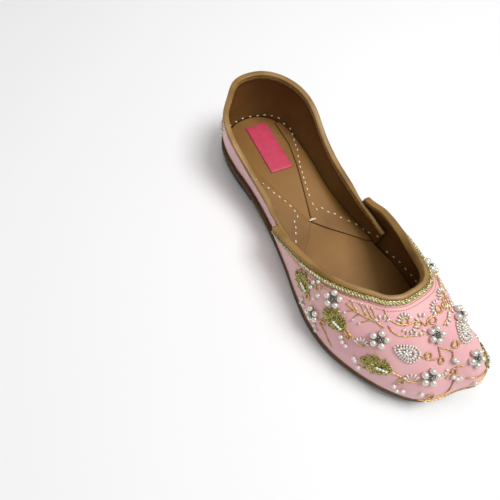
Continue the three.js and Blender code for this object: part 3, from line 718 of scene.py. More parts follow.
def flap_inner(side, rows):
    table = np.array(FLAP_EDGE)
    across = np.interp(rows, table[:, 0], table[:, 1])
    along = np.interp(rows, table[:, 0], table[:, 2])
    return PAD_AXIS * BALL_HALF + side * (across * BALL_HALF + 0.4), along * SHOE_LENGTH


def make_flap(side, name, node):
    rows = np.sort(np.append(np.linspace(FLAP_EDGE[0][0], FLAP_EDGE[-1][0], 90), FLAP_CORNER))
    outer_x, outer_s, _ = edge_point(-side * rows, insole_inset(rows))
    inner_x, inner_s = flap_inner(side, rows)
    sections = []
    for share, height in FLAP_SECTION:
        x = outer_x + (inner_x - outer_x) * share
        s = outer_s + (inner_s - outer_s) * share
        lift = SEAT_GAP + FLAP_THICKNESS * height
        sections.append(np.stack([x, SHOE_LENGTH / 2 - s, insole_top(x, s) + lift], 1))
    piece = sweep(name, np.swapaxes(np.array(sections), 0, 1), FLAP)
    return settle(piece, "lining_leather", node)


# The label: sizes in millimetres, turn in degrees, and its middle as shares of the shoe
LABEL_LENGTH = 48
LABEL_WIDTH = 18
LABEL_THICKNESS = 0.5
LABEL_TURN = 4
LABEL_ACROSS = 0.05
LABEL_ALONG = 0.168


def make_label():
    turned = math.radians(LABEL_TURN)
    long, wide = LABEL_LENGTH / 2, LABEL_WIDTH / 2
    down, side = np.meshgrid(np.linspace(-long, long, 49), np.linspace(-wide, wide, 19), indexing="ij")
    x = LABEL_ACROSS * BALL_HALF + side * math.cos(turned) - down * math.sin(turned)
    s = LABEL_ALONG * SHOE_LENGTH + side * math.sin(turned) + down * math.cos(turned)
    rim = np.minimum(long - np.abs(down), wide - np.abs(side))
    rounded, groove = smooth(rim / 0.5), smooth(1 - np.abs(rim - 1.1) / 0.35)
    rise = SEAT_GAP + LABEL_THICKNESS / 2 * (1 + rounded) - 0.10 * groove
    top = np.stack([x, SHOE_LENGTH / 2 - s, insole_top(x, s) + rise], -1)
    low = np.stack([x, SHOE_LENGTH / 2 - s, insole_top(x, s) + SEAT_GAP], -1)
    points = np.concatenate([top.reshape(-1, 3), low.reshape(-1, 3)])
    outside, others = sheet_faces(*down.shape)
    piece = new_piece("label_patch", points, outside + others, [LABEL_CLOTH])
    return settle(piece, "label", "label")


# Bound rims
def rolled_section(wall_thick, inner_leg, outer_leg, outer_face):
    """A fold of leather over the rim, thicker along its lit ridge."""
    inside = -wall_thick - SEAT_GAP
    back = inside - BINDING
    top = SEAT_GAP + BINDING
    middle = (outer_face + back) / 2
    reach = (outer_face - back) / 2
    bends = np.linspace(0, math.pi, 9)
    arch = [(middle + reach * math.cos(a), top - 0.45 + 0.45 * math.sin(a)) for a in bends]
    outside = [
        (outer_face - 0.12, -outer_leg), (outer_face, -outer_leg * 0.8), (outer_face + 0.05, -outer_leg * 0.4),
    ]
    within = [
        (back - 0.05, -inner_leg * 0.3), (back, -inner_leg * 0.7), (back + 0.1, -inner_leg * 0.96),
        (inside - 0.15, -inner_leg), (inside, -inner_leg),
    ]
    under = [(inside, SEAT_GAP), (outer_face - BINDING, SEAT_GAP), (outer_face - BINDING, -outer_leg)]
    return outside + arch + within + under


def make_quarter_binding():
    def section(turn):
        row = abs(turn)
        leg = float(smooth((6.35 - row) / 0.35))
        face = float(smooth((6.9 - row) / 0.5))
        outer_face = -SEAT_GAP + (2 * SEAT_GAP + BINDING) * face
        outer_leg = -SEAT_GAP * 0.8 + (2 + SEAT_GAP * 0.8) * leg
        return rolled_section(QUARTER_WALL, 3.4, outer_leg, outer_face)
    turns = np.linspace(-QUARTER_END, QUARTER_END, 301)
    piece = rim_strip("quarter_rolled_rim", turns, quarter_rib, lambda t, r: -stand_at(t, r), section, ROLLED)
    return settle(piece, "binding_leather", "quarter_binding")


def make_vamp_binding():
    turns = np.linspace(WING_ROW + 0.03, 2 * ROWS - WING_ROW - 0.03, 321)
    section = rolled_section(VAMP_WALL + LAP_SINK, 2.4, 2.0, SEAT_GAP + BINDING)
    piece = rim_strip("vamp_rolled_rim", turns, np.ones_like, lambda t, r: flare_at(t, r) + VAMP_WALL,
                      lambda turn: section, ROLLED)
    return settle(piece, "binding_leather", "vamp_binding")


# Threads and cords
def even_line(points, step):
    run = lengths(points)
    count = max(2, int(run[-1] / step) + 1)
    marks = np.linspace(0, run[-1], count)
    return np.stack([np.interp(marks, run, points[:, k]) for k in range(3)], 1)


def cord_mesh(line, normals, radius, pitch, around=8):
    """Points and faces of a twisted cord along a line in millimetres."""
    forward = unit(np.gradient(line, axis=0))
    side = unit(np.cross(forward, normals))
    lift = unit(np.cross(side, forward))
    run = lengths(line)
    turn = 2 * math.pi * run / pitch
    angles = np.linspace(0, 2 * math.pi, around, endpoint=False)
    reach = radius * (1 + 0.28 * np.cos(2 * angles[None, :] - turn[:, None]))
    taper = np.clip(np.minimum(run, run[-1] - run) / (radius * 0.8) + 0.15, 0, 1)[:, None]
    reach = reach * taper
    points = (line[:, None] + side[:, None] * (np.cos(angles)[None, :, None] * reach[..., None])
              + lift[:, None] * (np.sin(angles)[None, :, None] * reach[..., None]))
    count = len(line)
    faces = grid_faces(count, around, closed=True)
    faces += [tuple(range(around))[::-1], tuple(range((count - 1) * around, count * around))]
    return points.reshape(-1, 3), faces


class Basket:
    """Collects many small shapes of one finish into one piece."""

    def __init__(self, name, material, slot):
        self.name, self.material, self.slot = name, material, slot
        self.points, self.faces, self.count = [], [], 0

    def add(self, points, faces):
        self.points.append(np.asarray(points))
        self.faces += [tuple(v + self.count for v in f) for f in faces]
        self.count += len(points)

    def sew(self, *nodes):
        piece = new_piece(self.name, np.concatenate(self.points), self.faces, [self.material])
        return settle(piece, self.slot, *nodes)


def ball_shape(segments, rings):
    points, faces = [(0, 0, 1)], []
    for i in range(1, rings):
        a = math.pi * i / rings
        for k in range(segments):
            b = 2 * math.pi * k / segments
            points.append((math.sin(a) * math.cos(b), math.sin(a) * math.sin(b), math.cos(a)))
    points.append((0, 0, -1))
    for k in range(segments):
        n = (k + 1) % segments
        faces.append((0, 1 + k, 1 + n))
        for i in range(rings - 2):
            a = 1 + i * segments
            faces.append((a + k, a + segments + k, a + segments + n, a + n))
        a = 1 + (rings - 2) * segments
        faces.append((a + k, len(points) - 1, a + n))
    return np.array(points), faces


BIG_BALL = ball_shape(14, 9)
SMALL_BALL = ball_shape(8, 5)
CUT_STONE = ball_shape(6, 4)


def bead(basket, centre, radius, normal=None, axis=None, long=1.0, shape=SMALL_BALL):
    """A bead at a point; with an axis it is stretched along it."""
    points, faces = shape
    points = points.copy()
    if axis is not None:
        up = np.asarray(axis) / np.linalg.norm(axis)
        side = unit(np.cross(up, [0.3, 0.5, 0.8]))
        points = (points[:, :1] * side + points[:, 1:2] * np.cross(up, side)) + points[:, 2:] * up * long
    basket.add(np.asarray(centre) + points * radius, faces)


def sewn_cord(basket, spots, radius, pitch=None, lift=0.0, step=0.5, quarter=False, around=8):
    """A cord couched on the silk along places on the last."""
    offset = (0 if quarter else VAMP_WALL) + radius * 0.8 + lift
    turn, rib = spots[:, 0], spots[:, 1]
    flare = 0 if quarter else flare_at(turn, rib)
    rough_line = off_last(turn, rib, flare + offset)
    line = even_line(rough_line, step)
    run, marks = lengths(rough_line), lengths(line)
    _, normal, _ = last_frame(turn, rib)
    normals = unit(np.stack([np.interp(marks, run, normal[:, k]) for k in range(3)], 1))
    basket.add(*cord_mesh(line, normals, radius, pitch or radius * 4, around=around))


def catmull(points, step):
    """A smooth run through given points, with a place about every step."""
    points = np.asarray(points, float)
    padded = np.vstack([2 * points[0] - points[1], points, 2 * points[-1] - points[-2]])
    out = []
    for i in range(1, len(padded) - 2):
        a, b, c, d = padded[i - 1: i + 3]
        count = max(2, int(np.linalg.norm(c - b) / step))
        for t in np.linspace(0, 1, count, endpoint=False):
            bend, twist = 2 * a - 5 * b + 4 * c - d, 3 * b - a - 3 * c + d
            out.append(0.5 * (2 * b + (c - a) * t + bend * t * t + twist * t**3))
    out.append(points[-1])
    return np.array(out)


class Face:
    """A face of the shoe on which the handwork is placed as the photograph shows it."""

    def __init__(self, piece):
        mesh = piece.data
        corners = [v.co.copy() for v in mesh.vertices]
        self.tree = BVHTree.FromPolygons(corners, [tuple(p.vertices) for p in mesh.polygons])

    def seen(self, spots):
        """Points of the face, in millimetres, behind places in the photograph's frame."""
        found = []
        for x, y in spots:
            hit = self.tree.ray_cast(VIEW_PLACE, sight(x, y))[0]
            if hit is not None:
                found.append(np.array(hit) * 1000 - SHIFT)
        return np.array(found).reshape(-1, 3)


def on_last(points, off, guess=None, rounds=4):
    """The places on the last under points that lie a distance off it."""
    if guess is None:
        round_way = np.linspace(-QUARTER_END, 2 * ROWS - WING_ROW, 181)
        turns, ribs = np.meshgrid(round_way, np.linspace(0.02, 1, 25), indexing="ij")
        if off > 0:
            keep = turns >= WING_ROW
            turns, ribs = turns[keep], ribs[keep]
        net = off_last(turns.ravel(), ribs.ravel(), off)
        near = [int(np.argmin(((net - p) ** 2).sum(1))) for p in points]
        guess = np.stack([turns.ravel()[near], ribs.ravel()[near]], 1)
    for _ in range(rounds):
        turn, rib = guess[:, 0], guess[:, 1]
        a = (off_last(turn + TURN_STEP, rib, off) - off_last(turn - TURN_STEP, rib, off)) / (2 * TURN_STEP)
        low, high = np.maximum(0.001, rib - RIB_STEP), np.minimum(1, rib + RIB_STEP)
        b = (off_last(turn, high, off) - off_last(turn, low, off)) / (high - low)[:, None]
        move = points - off_last(turn, rib, off)
        aa, ab, bb = (a * a).sum(1), (a * b).sum(1), (b * b).sum(1)
        am, bm = (a * move).sum(1), (b * move).sum(1)
        scale = aa * bb - ab * ab
        step = np.stack([(am * bb - bm * ab) / scale, (aa * bm - ab * am) / scale], 1)
        guess = guess + np.clip(step, -0.3, 0.3)
        guess[:, 1] = np.clip(guess[:, 1], 0.001, 1)
    return guess


def mirrored(places):
    """The same places on the other half; work about the middle of the toe has no twin."""
    if len(places) == 0 or places[:, 0].mean() > TWIN_LIMIT:
        return places[:0]
    return np.stack([2 * ROWS - places[:, 0], places[:, 1]], 1)


def twins(places):
    """The mirrored places that stay clear of the leaves and the drop on the other half."""
    other = mirrored(places)
    if len(other) == 0:
        return other
    taken = np.array([motif[:2] for motif in (*HIDDEN_LEAVES, HIDDEN_DROP)])
    apart = last_point(*other.T)[:, None] - last_point(*taken.T)[None]
    return other[np.linalg.norm(apart, axis=2).min(1) > TWIN_DISTANCE]


# The row of the last beyond which the beadwork spans both halves
TWIN_LIMIT = 15.9
TWIN_DISTANCE = 8.5
# The beadwork, each entry in the photograph's frame of 500 by 500
FLOWERS = [
    (334, 298.5), (313.5, 313), (379.5, 338.5), (435, 334), (429.5, 376), (475, 357.5), (459, 314), (429, 267),
]
LEAVES = [((296.5, 270.5), (309, 294)), ((325, 309), (345, 331)), ((360.5, 357.5), (391, 371))]
DROPS = [((393.3, 346), (416.5, 357)), ((456.5, 321), (468, 341))]
# The same on the side that the photograph doesn't show, by row and rib of the last
HIDDEN_FLOWER = (25.80, 0.32)
HIDDEN_LEAVES = [(27.00, 0.44, 170, 15), (24.80, 0.40, 169, 15), (21.60, 0.21, 188, 17)]
HIDDEN_DROP = (23.30, 0.31, 150, 14)
TRIOS = [
    [(314.5, 282), (319.5, 281.5), (312, 286.5)], [(319, 295.5), (315, 298)], [(341.5, 336), (342.5, 341), (346, 345)],
    [(394, 385), (397, 389.5), (403, 390)], [(421, 393), (424, 400)], [(456, 378), (452, 376), (460, 377)],
    [(450, 395), (446, 398)], [(354, 357), (355.5, 359.5), (359, 366)], [(456, 361), (453.5, 359)],
    [(315, 324), (317, 329.5)], [(303, 298.5), (302.5, 302), (304.5, 304.5)], [(474, 382)],
]
RINGS = [
    (404.5, 321), (418.5, 324), (432.5, 320), (438.5, 309), (455, 344), (428, 355.5), (440.5, 360), (453.5, 371),
    (430, 396), (401, 381), (348, 336), (322.5, 323), (308, 296), (318, 287),
]
FANS = [
    ((404.5, 321), -160, -20, 6), ((437, 308), -190, -50, 6), ((409, 326), 20, 160, 5), ((361, 344), -160, -20, 6),
    ((382, 323), -150, -30, 4), ((442, 369), 30, 150, 4), ((411, 380), -150, -30, 5), ((422, 321), -140, -50, 3),
    ((418, 328), 40, 140, 3), ((444, 318), 20, 110, 3),
]
VINES = [
    [(390, 371), (400, 376), (406, 380), (414, 382), (421, 380)],
    [(346, 328), (351, 335), (357, 343), (364, 346), (372, 344)],
    [(388, 325), (392, 331), (398, 335), (406, 336), (415, 335.5), (424, 334)],
    [(436, 276), (440, 287), (445, 296), (449.5, 307), (449, 315), (443, 326)],
    [(384, 309), (387, 316), (392, 321), (399, 324.5), (407, 325), (413, 322), (420, 322), (426, 326)],
    [(426, 326), (428, 319), (435, 315), (442, 311), (444.5, 305), (440, 296), (436, 291)],
    [(438, 346), (439.5, 353), (440.5, 357.5)], [(440.5, 347.5), (448, 349), (452.5, 352), (453, 358), (457, 361)],
    [(420, 355.5), (426, 358.5), (433, 359.5), (438, 358)], [(455, 367), (460, 365.5), (465, 366)],
    [(454, 379), (450, 388), (443, 394), (436, 396.5)], [(452, 373), (447, 376), (445, 379)],
    [(320, 324), (324, 330), (327.5, 338), (331.5, 347)], [(321, 288), (325, 287), (328, 286)],
    [(344, 331), (346.5, 334), (349, 338)], [(306, 292), (308, 296), (309, 301)],
    [(471, 330), (466, 338), (460, 343), (455, 348)],
    [(466, 377.5), (470, 377.8), (475, 377), (480, 375.5), (484, 372), (486.5, 368.5)],
]
# The vines without a twin on the other half, by their place in the list
LONE_VINES = (2, 3, 4, 5, 16)
TWIG = [(346, 302.5), (352, 308), (359, 313), (366, 317), (373, 320), (379, 323.5), (384, 328)]
FRONDS = [
    [(352, 300.5), (354, 306), (359, 312)], [(361, 303.5), (363, 309), (367, 316.5)],
    [(366.5, 306), (369, 312), (373, 319.5)], [(372, 308), (374, 314), (379, 322)],
    [(345, 312), (349, 310.5), (355, 311)], [(353, 319.5), (356, 315.5), (361, 314.5)],
    [(359.5, 323), (364, 321.5), (372, 320)],
]


def make_beadwork(vamp_face):
    """Pearls, stones, leaves, drops, rings, vines and the twig sewn to the vamp, on both halves."""
    def place(spots):
        return on_last(vamp_face.seen(spots), VAMP_WALL)

    pearls = Basket("pearl_flowers", PEARL, "pearl")
    stones = Basket("cut_stones", STONE, "pearl")
    seeds = Basket("seed_pearls", SEED, "pearl")
    drops = Basket("seed_pearl_drops", SEED, "pearl")
    leaves = Basket("gilt_leaves", ZARI, "zari")
    bugles = Basket("bugle_beads", BUGLE, "pearl")
    gold = Basket("couched_gold_cords", GOLD_THREAD, "gold_braid")

    for spot in (*place(FLOWERS), HIDDEN_FLOWER):
        sew_flower(pearls, stones, spot, dice.uniform(0, 72))
    for ends in (*[place(leaf) for leaf in LEAVES], *[hidden_ends(*leaf) for leaf in HIDDEN_LEAVES]):
        sew_leaf(leaves, bugles, ends)
    for ends in (*[place(drop) for drop in DROPS], hidden_ends(*HIDDEN_DROP)):
        sew_drop(drops, ends)

    for trio in TRIOS:
        found = place(trio)
        for spots in (found, twins(found)):
            for turn, rib in spots:
                lift = VAMP_WALL + float(flare_at(np.array(turn), rib)) + 1.0
                bead(seeds, off_last([turn], [rib], lift)[0], dice.uniform(1.15, 1.4), shape=BIG_BALL)
    for centre in RINGS:
        spot = place([centre])
        for turn, rib in (*spot, *twins(spot)):
            sew_ring(gold, turn, rib)
    for centre, start, end, count in FANS:
        spot = place([centre])
        for turn, rib in (*spot, *twins(spot)):
            flip = turn > ROWS + 3
            sew_fan(seeds, turn, rib, 180 - start if flip else start, 180 - end if flip else end, count)

    for k, vine in enumerate(VINES):
        found = place(catmull(vine, 1.2))
        sewn_cord(gold, found, 0.4)
        if k not in LONE_VINES and len(mirrored(found)):
            sewn_cord(gold, mirrored(found), 0.4)
    for run in [TWIG, *FRONDS]:
        found = place(catmull(run, 1.2))
        for spots in (found, mirrored(found)):
            sewn_cord(gold, spots, 0.4 if run is TWIG else 0.32)
            if run is not TWIG:
                turn, rib = spots[0]
                bead(seeds, off_last([turn], [rib], VAMP_WALL + 0.65)[0], 0.72)
    flowers = [f"pearl_flower_{side}_{k}" for side in ("lateral", "medial") for k in range(1, 5)]
    pearls.sew(*flowers, "pearl_flower_crown")
    stones.sew()
    seeds.sew()
    drops.sew("pearl_paisley_lateral_1", "pearl_paisley_medial_1")
    leaves.sew(*[f"zari_leaf_{side}_{k}" for side in ("lateral", "medial") for k in range(1, 4)])
    bugles.sew()
    gold.sew()


def hidden_ends(turn, rib, angle, length):
    """Tip and base of a motif about a place, leaning as its twin does on the other half."""
    lean = math.radians(angle)
    reach = np.array([-math.cos(lean), math.sin(lean)]) * length / 2
    return near_places(turn, rib, [reach, -reach])


def tangent_plane(turn, rib, off):
    """Point, normal and two directions along the face: forward round the shoe, and up the rib."""
    point, normal, rise = (v[0] for v in last_frame([turn], [rib]))
    side = np.cross(rise, normal)
    flare = float(flare_at(np.array([turn]), np.array([rib]))[0]) if off > 0 else 0
    return off_last([turn], [rib], off + flare)[0], normal, side, np.cross(normal, side)


def near_places(turn, rib, moves):
    """Places on the last a few millimetres from one place, moved along the face."""
    a = (last_point([turn + TURN_STEP], [rib]) - last_point([turn - TURN_STEP], [rib]))[0] / (2 * TURN_STEP)
    low, high = max(0.001, rib - RIB_STEP), min(1, rib + RIB_STEP)
    b = (last_point([turn], [high]) - last_point([turn], [low]))[0] / (high - low)
    _, normal, side, up = tangent_plane(turn, rib, 0)
    moves = np.asarray(moves, float)
    step = moves[:, :1] * side + moves[:, 1:2] * up
    aa, ab, bb = a @ a, a @ b, b @ b
    am, bm = step @ a, step @ b
    scale = aa * bb - ab * ab
    out = np.stack([turn + (am * bb - bm * ab) / scale, rib + (aa * bm - ab * am) / scale], 1)
    out[:, 1] = np.clip(out[:, 1], 0.002, 1)
    return on_last(last_point([turn], [rib]) + step, 0, guess=out, rounds=1)


def sew_flower(pearls, stones, spot, turned):
    """Five pearls round a cluster of small cut stones."""
    turn, rib = spot
    angles = np.radians(turned + np.arange(5) * 72)
    for place in near_places(turn, rib, np.stack([np.cos(angles), np.sin(angles)], 1) * 3.5):
        centre = off_last([place[0]], [place[1]], VAMP_WALL + 1.6)[0]
        bead(pearls, centre, dice.uniform(1.7, 1.88), shape=BIG_BALL)
    moves = [(0, 0)] + [(1.25 * math.cos(a), 1.25 * math.sin(a)) for a in np.radians(np.arange(6) * 60 + turned)]
    for k, place in enumerate(near_places(turn, rib, moves)):
        lift, size = (2.3, 0.9) if k == 0 else (1.5, 0.75)
        point, normal, side, _ = tangent_plane(place[0], place[1], VAMP_WALL + lift)
        axis = normal + side * dice.uniform(-0.3, 0.3)
        bead(stones, point, size, axis=axis, long=0.8, shape=CUT_STONE)


def laid_out(ends):
    """A motif's length, middle and two directions along the face, from its tip and base."""
    tip, base = off_last(ends[:, 0], ends[:, 1], VAMP_WALL)
    turn, rib = ends.mean(0)
    _, _, side, up = tangent_plane(turn, rib, 0)
    axis = unit(np.array([(base - tip) @ side, (base - tip) @ up]))
    return float(np.linalg.norm(base - tip)), turn, rib, axis, np.array([-axis[1], axis[0]])


def sew_leaf(leaves, bugles, ends):
    """A jagged leaf of short gilt coils laid out from a middle vein, with a bar of bugle beads."""
    length, turn, rib, axis, cross = laid_out(ends)
    half = 0.44 * length
    rows = int(length / 0.7)
    for way in (-1, 1):
        for k in range(rows):
            share = (k + 0.5) / rows
            start = axis * length * (share - 0.5)
            lobe = 1.15 - 0.55 * ((share * 3.4 + 0.25 * way) % 1)
            wide = np.interp(share, (0, 0.12, 0.35, 0.6, 0.85, 1), (0.12, 0.42, 0.8, 1.0, 0.9, 0.5))
            reach = half * lobe * wide * dice.uniform(0.92, 1.05)
            out = cross * way * reach - axis * reach * 0.5
            path = np.array([start + out * t for t in np.linspace(0, 1, 7)])
            spots = near_places(turn, rib, path)
            thick = dice.uniform(0.42, 0.52)
            sewn_cord(leaves, spots, thick, pitch=1.1, lift=0.25 * math.cos(k), step=0.42, around=6)
    vein = [axis * length * (s - 0.5) + cross * w * half * 0.2 for s, w in ((0.0, 0), (0.3, 0.4), (0.5, 0.0))]
    sewn_cord(leaves, near_places(turn, rib, catmull(vein, 0.8)), 0.4, pitch=1.1, lift=0.6, around=6)
    for k in range(4):
        move = axis * length * (0.04 + 0.095 * k)
        place = near_places(turn, rib, [move])[0]
        point, normal, side, up = tangent_plane(place[0], place[1], VAMP_WALL + 1.75)
        along = side * axis[0] + up * axis[1]
        bead(bugles, point, 0.72, axis=along + normal * dice.uniform(-0.1, 0.1), long=1.2, shape=BIG_BALL)


def sew_drop(drops, ends):
    """A rim of seed pearls in the shape of a drop, filled with longer beads about its middle."""
    length, turn, rib, axis, cross = laid_out(ends)
    _, _, side, up = tangent_plane(turn, rib, 0)
    angles = np.linspace(0, 2 * math.pi, 241)
    outline = np.stack([np.cos(angles), 0.56 * np.sin(angles) * (1 + 0.42 * np.cos(angles))], 1) * length / 2
    for scale, size, long, lift in ((1.0, 0.72, 1.0, 0.0), (0.66, 0.6, 1.9, 0.5), (0.26, 0.62, 1.9, 0.95)):
        round_line = outline * scale
        run = lengths(round_line)
        count = max(3, int(run[-1] / (size * 2.05)))
        marks = np.linspace(0, run[-1], count, endpoint=False)
        spots = np.stack([np.interp(marks, run, round_line[:, k]) for k in range(2)], 1)
        moves = spots[:, :1] * axis + spots[:, 1:] * cross
        for move, place in zip(moves, near_places(turn, rib, moves)):
            way = unit(move)
            centre = off_last([place[0]], [place[1]], VAMP_WALL + size * 0.85 + lift)[0]
            bead(drops, centre, size * dice.uniform(0.94, 1.06), axis=side * way[0] + up * way[1], long=long)


def sew_ring(gold, turn, rib):
    """A ring of gilt coil, wound a little more than once, round a bead-sized hollow."""
    angles = np.linspace(0, math.radians(500), 40) + dice.uniform(0, 6)
    reach = np.linspace(2.0, 1.45, 40)
    spots = near_places(turn, rib, np.stack([np.cos(angles) * reach, np.sin(angles) * reach], 1))
    sewn_cord(gold, spots, 0.42, pitch=1.3, lift=0.15, step=0.4, around=6)


def sew_fan(seeds, turn, rib, start, end, count):
    """Long seed pearls spread like petals about a ring."""
    for angle in np.radians(np.linspace(start, end, count)):
        way = np.array([math.cos(angle), -math.sin(angle)])
        place = near_places(turn, rib, [way * 3.3])[0]
        point, _, side, up = tangent_plane(place[0], place[1], VAMP_WALL + 0.7)
        bead(seeds, point, 0.64, axis=side * way[0] + up * way[1], long=2.0)


def rim_depth(depth, turns):
    ribs = rib_below(turns, depth, np.ones_like(turns))
    return np.stack([turns, ribs], 1)


def make_braid():
    """A rope of two pale gold strands below the rolled rim, a dark olive cord above it that paints the shade between
    rim and rope, and salmon stitches below.
    """
    turns = np.linspace(WING_ROW + 0.05, 2 * ROWS - WING_ROW - 0.05, 1400)
    line = off_last(turns, rim_depth(3.7, turns)[:, 1], flare_at(turns, np.ones_like(turns)) + VAMP_WALL + 1.0)
    run = lengths(line)
    braid = Basket("twisted_braid", BRAID_THREAD, "gold_braid")
    for strand in range(2):
        phase = 2 * math.pi * (run / 3.6 + strand / 2)
        spots = rim_depth(3.6 + 0.46 * np.sin(phase), turns)
        path = off_last(spots[:, 0], spots[:, 1], flare_at(*spots.T) + VAMP_WALL + 0.9 + 0.36 * np.cos(phase))
        _, normal, _ = last_frame(*spots.T)
        braid.add(*cord_mesh(path, normal, 0.54, 1.5, around=7))
    braid.sew("vamp_braid")
    # Painted shade: a dark gilt cord laid between the rolled rim and the rope, where shade falls on the rope's upper
    # side.
    shade = Basket("olive_painted_shade_cord", ZARI, "gold_braid")
    few = turns[::4]
    sewn_cord(shade, rim_depth(2.5, few), 0.4, pitch=1.2, step=0.45, around=6)
    shade.sew()
    trim = Basket("salmon_stitches", SALMON_THREAD, "gold_braid")
    sewn_cord(trim, rim_depth(5.5, few), 0.22, pitch=1.2, step=0.5, around=6)
    sewn_dashes(trim, rim_depth(7.3, few), 0.3, 1.45)
    trim.sew()


def sewn_dashes(basket, spots, radius, pitch):
    """Short stitches laid end to end along places on the vamp."""
    line = off_last(spots[:, 0], spots[:, 1], flare_at(*spots.T) + VAMP_WALL + radius * 0.5)
    run = lengths(line)
    marks = np.arange(0, run[-1], pitch)
    points = np.stack([np.interp(marks, run, line[:, k]) for k in range(3)], 1)
    for point, way in zip(points, unit(np.gradient(points, axis=0))):
        bead(basket, point, radius, axis=way, long=1.7, shape=CUT_STONE)


def make_seam_thread():
    """A waxed thread along the foot of the upper, and gold piping round the foot of the toe."""
    seam = Basket("sole_seam_thread", WAXED_THREAD, "sole_leather")
    turns = np.linspace(WING_ROW + 0.1, 2 * ROWS - WING_ROW - 0.1, 700)
    sewn_cord(seam, np.stack([turns, np.full_like(turns, 0.02)], 1), 0.36, pitch=1.9, step=0.6, around=6)
    heel_turns = np.linspace(-WING_ROW + 0.05, WING_ROW - 0.05, 500)
    heel_foot = np.stack([heel_turns, np.full_like(heel_turns, 0.02)], 1)
    sewn_cord(seam, heel_foot, 0.36, pitch=1.9, step=0.6, quarter=True, around=6)
    seam.sew()
    piping = Basket("toe_piping", GOLD_THREAD, "gold_braid")
    toe_turns = np.linspace(14.6, 2 * ROWS - 14.6, 200)
    sewn_cord(piping, np.stack([toe_turns, np.full_like(toe_turns, 0.06)], 1), 0.42, pitch=1.5, step=0.5, around=6)
    piping.sew()


# Running stitches, in the photograph's frame
HEEL_STITCHES = [
    (230, 125.7), (236, 121.8), (242.5, 118.5), (250, 116.5), (257.5, 115.7), (264.5, 115), (271.7, 115.7), (278.8, 118),
    (284.2, 123.7), (290.3, 128.8), (292.3, 134.2), (294, 140), (295.5, 145.3), (297.3, 149.8), (298, 156.3),
    (299.2, 162), (300, 167), (302, 172.5), (303.5, 177.8), (305, 182.8), (307, 189.2), (309, 195.3),
    (312.5, 204), (316.5, 209.5),
]
FRONT_STITCHES = [
    (322, 208.3), (328, 212), (334.5, 214), (340.8, 217.7), (348.7, 221), (356.2, 224.5), (362.8, 229), (369.3, 232.5),
    (377.8, 236.2), (387.3, 252), (394, 257), (400, 262), (406, 269), (411.5, 275), (416.5, 281.2),
]
SIDE_STITCHES = [
    (252.3, 175.7), (256.3, 180), (263.2, 184), (268.3, 188.2), (273.7, 193), (279.2, 197), (285, 201.3), (290.2, 206),
    (294.5, 211), (297.3, 216.7), (294.3, 221.8), (295.6, 227.7), (295.6, 233.5), (295.7, 241.7),
]


def make_stitches(*faces):
    """Cream running stitches through the lining, and the bar where its folds meet."""
    thread = Basket("running_stitches", STITCH, "lining_leather")

    def hit(spot):
        ray = sight(*spot)
        hits = [h for h in (face.tree.ray_cast(VIEW_PLACE, ray) for face in faces) if h[0] is not None]
        best = min(hits, key=lambda h: h[3])
        normal = np.array(best[1])
        return np.array(best[0]) * 1000 - SHIFT, normal if normal @ np.array(ray) < 0 else -normal

    for row in (HEEL_STITCHES, FRONT_STITCHES, SIDE_STITCHES):
        found = [hit(spot) for spot in row]
        for k, (point, normal) in enumerate(found):
            a, b = found[max(0, k - 1)][0], found[min(len(found) - 1, k + 1)][0]
            bead(thread, point + normal * 0.18, 0.62, axis=b - a, long=dice.uniform(1.7, 2.1))
    ends = [hit(spot)[0] for spot in ((309, 221.3), (312.5, 219.6), (315.8, 219.2))]
    line = even_line(catmull(np.array(ends), 0.4), 0.3) + np.array([0, 0, 0.5])
    thread.add(*cord_mesh(line, np.tile([0.0, 0, 1], (len(line), 1)), 0.75, 3, around=8))
    thread.sew()


def make_rim_dots():
    """Tiny gold stitches in two rows along the inner face of the quarter's rim."""
    dots = Basket("rim_stitches", GOLD_THREAD, "gold_braid")
    turns = np.linspace(-QUARTER_END + 0.1, QUARTER_END - 0.1, 2400)
    rims = quarter_rib(turns)
    for depth, shift in ((1.2, 0), (2.3, 0.8)):
        ribs = rib_below(turns[::8], depth, rims[::8])
        ribs = np.interp(turns, turns[::8], ribs)
        off = -stand_at(turns, ribs) - QUARTER_WALL - SEAT_GAP - BINDING - 0.02
        line = off_last(turns, ribs, off)
        run = lengths(line)
        marks = np.arange(shift, run[-1], 1.6)
        points = np.stack([np.interp(marks, run, line[:, k]) for k in range(3)], 1)
        ways = unit(np.gradient(points, axis=0))
        for point, way in zip(points, ways):
            bead(dots, point, 0.26, axis=way, long=1.9, shape=CUT_STONE)
    dots.sew()


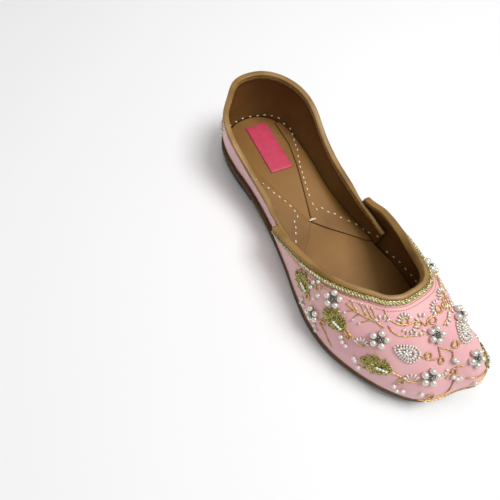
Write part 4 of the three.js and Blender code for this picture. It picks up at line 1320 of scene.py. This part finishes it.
# Leaves of the heel sprig: millimetres forward and up from its middle, lean in degrees and length
SPRIG_PLACE = (2.4, 0.46)
SPRIG_LEAVES = [(-4.5, 0.5, 105, 8.5), (0.5, 4.0, 80, 9.0), (-1.0, -4.5, 15, 7.5), (4.5, 1.0, 35, 8.0)]
SPRIG_STEM = [(-8.5, -5.0), (-4.0, -3.0), (0.0, -0.5), (3.5, 4.5), (7.5, 7.0)]
SPRIG_PEARLS = [(9.5, 8.5), (8.0, 10.5), (10.8, 6.2), (-10.2, -5.6), (-6.8, -7.8), (7.6, -3.0)]


def make_heel_sprig():
    """A small sprig of gilt leaves on a stem, with pearls, on each side of the heel."""
    leaves = Basket("heel_sprig", ZARI, "zari")
    seeds = Basket("heel_sprig_pearls", SEED, "pearl")
    stem = Basket("heel_sprig_stem", GOLD_THREAD, "gold_braid")
    turn, rib = SPRIG_PLACE
    for way in (1, -1):
        toward = np.array([way, 1.0])
        for ahead, above, lean, long in SPRIG_LEAVES:
            angle = math.radians(lean)
            axis = np.array([math.cos(angle) * way, math.sin(angle)])
            cross = np.array([-axis[1], axis[0]])
            middle = np.array([ahead, above]) * toward
            rows = int(long / 0.8)
            for k in range(rows):
                share = (k + 0.5) / rows
                start = middle + axis * long * (share - 0.5)
                for sense in (-1, 1):
                    reach = 0.3 * long * math.sin(math.pi * min(1, 0.1 + 0.86 * share)) * (1 if k % 3 else 1.25)
                    out = cross * sense * reach - axis * reach * 0.4
                    spots = near_places(way * turn, rib, [start + out * t for t in np.linspace(0, 1, 5)])
                    sewn_cord(leaves, spots, 0.42, pitch=1.1, step=0.45, quarter=True, around=6)
        run = near_places(way * turn, rib, catmull(np.array(SPRIG_STEM) * toward, 0.6))
        sewn_cord(stem, run, 0.38, step=0.45, quarter=True, around=6)
        for spot in near_places(way * turn, rib, np.array(SPRIG_PEARLS) * toward):
            bead(seeds, off_last(spot[:1], spot[1:], 0.9)[0], 1.05, shape=BIG_BALL)
    leaves.sew()
    seeds.sew()
    stem.sew()


make_camera()
make_studio()
vamp = make_vamp()
quarter = make_quarter()
make_outsole()
make_heel_lift()
footbed = make_insole()
folds = [make_flap(-1, "lateral_fold", "flap_lateral"), make_flap(1, "medial_fold", "flap_medial")]
make_label()
make_quarter_binding()
make_vamp_binding()
make_braid()
make_seam_thread()
make_beadwork(Face(vamp))
make_heel_sprig()
make_stitches(Face(footbed), *[Face(fold) for fold in folds], Face(quarter), Face(vamp))
make_rim_dots()
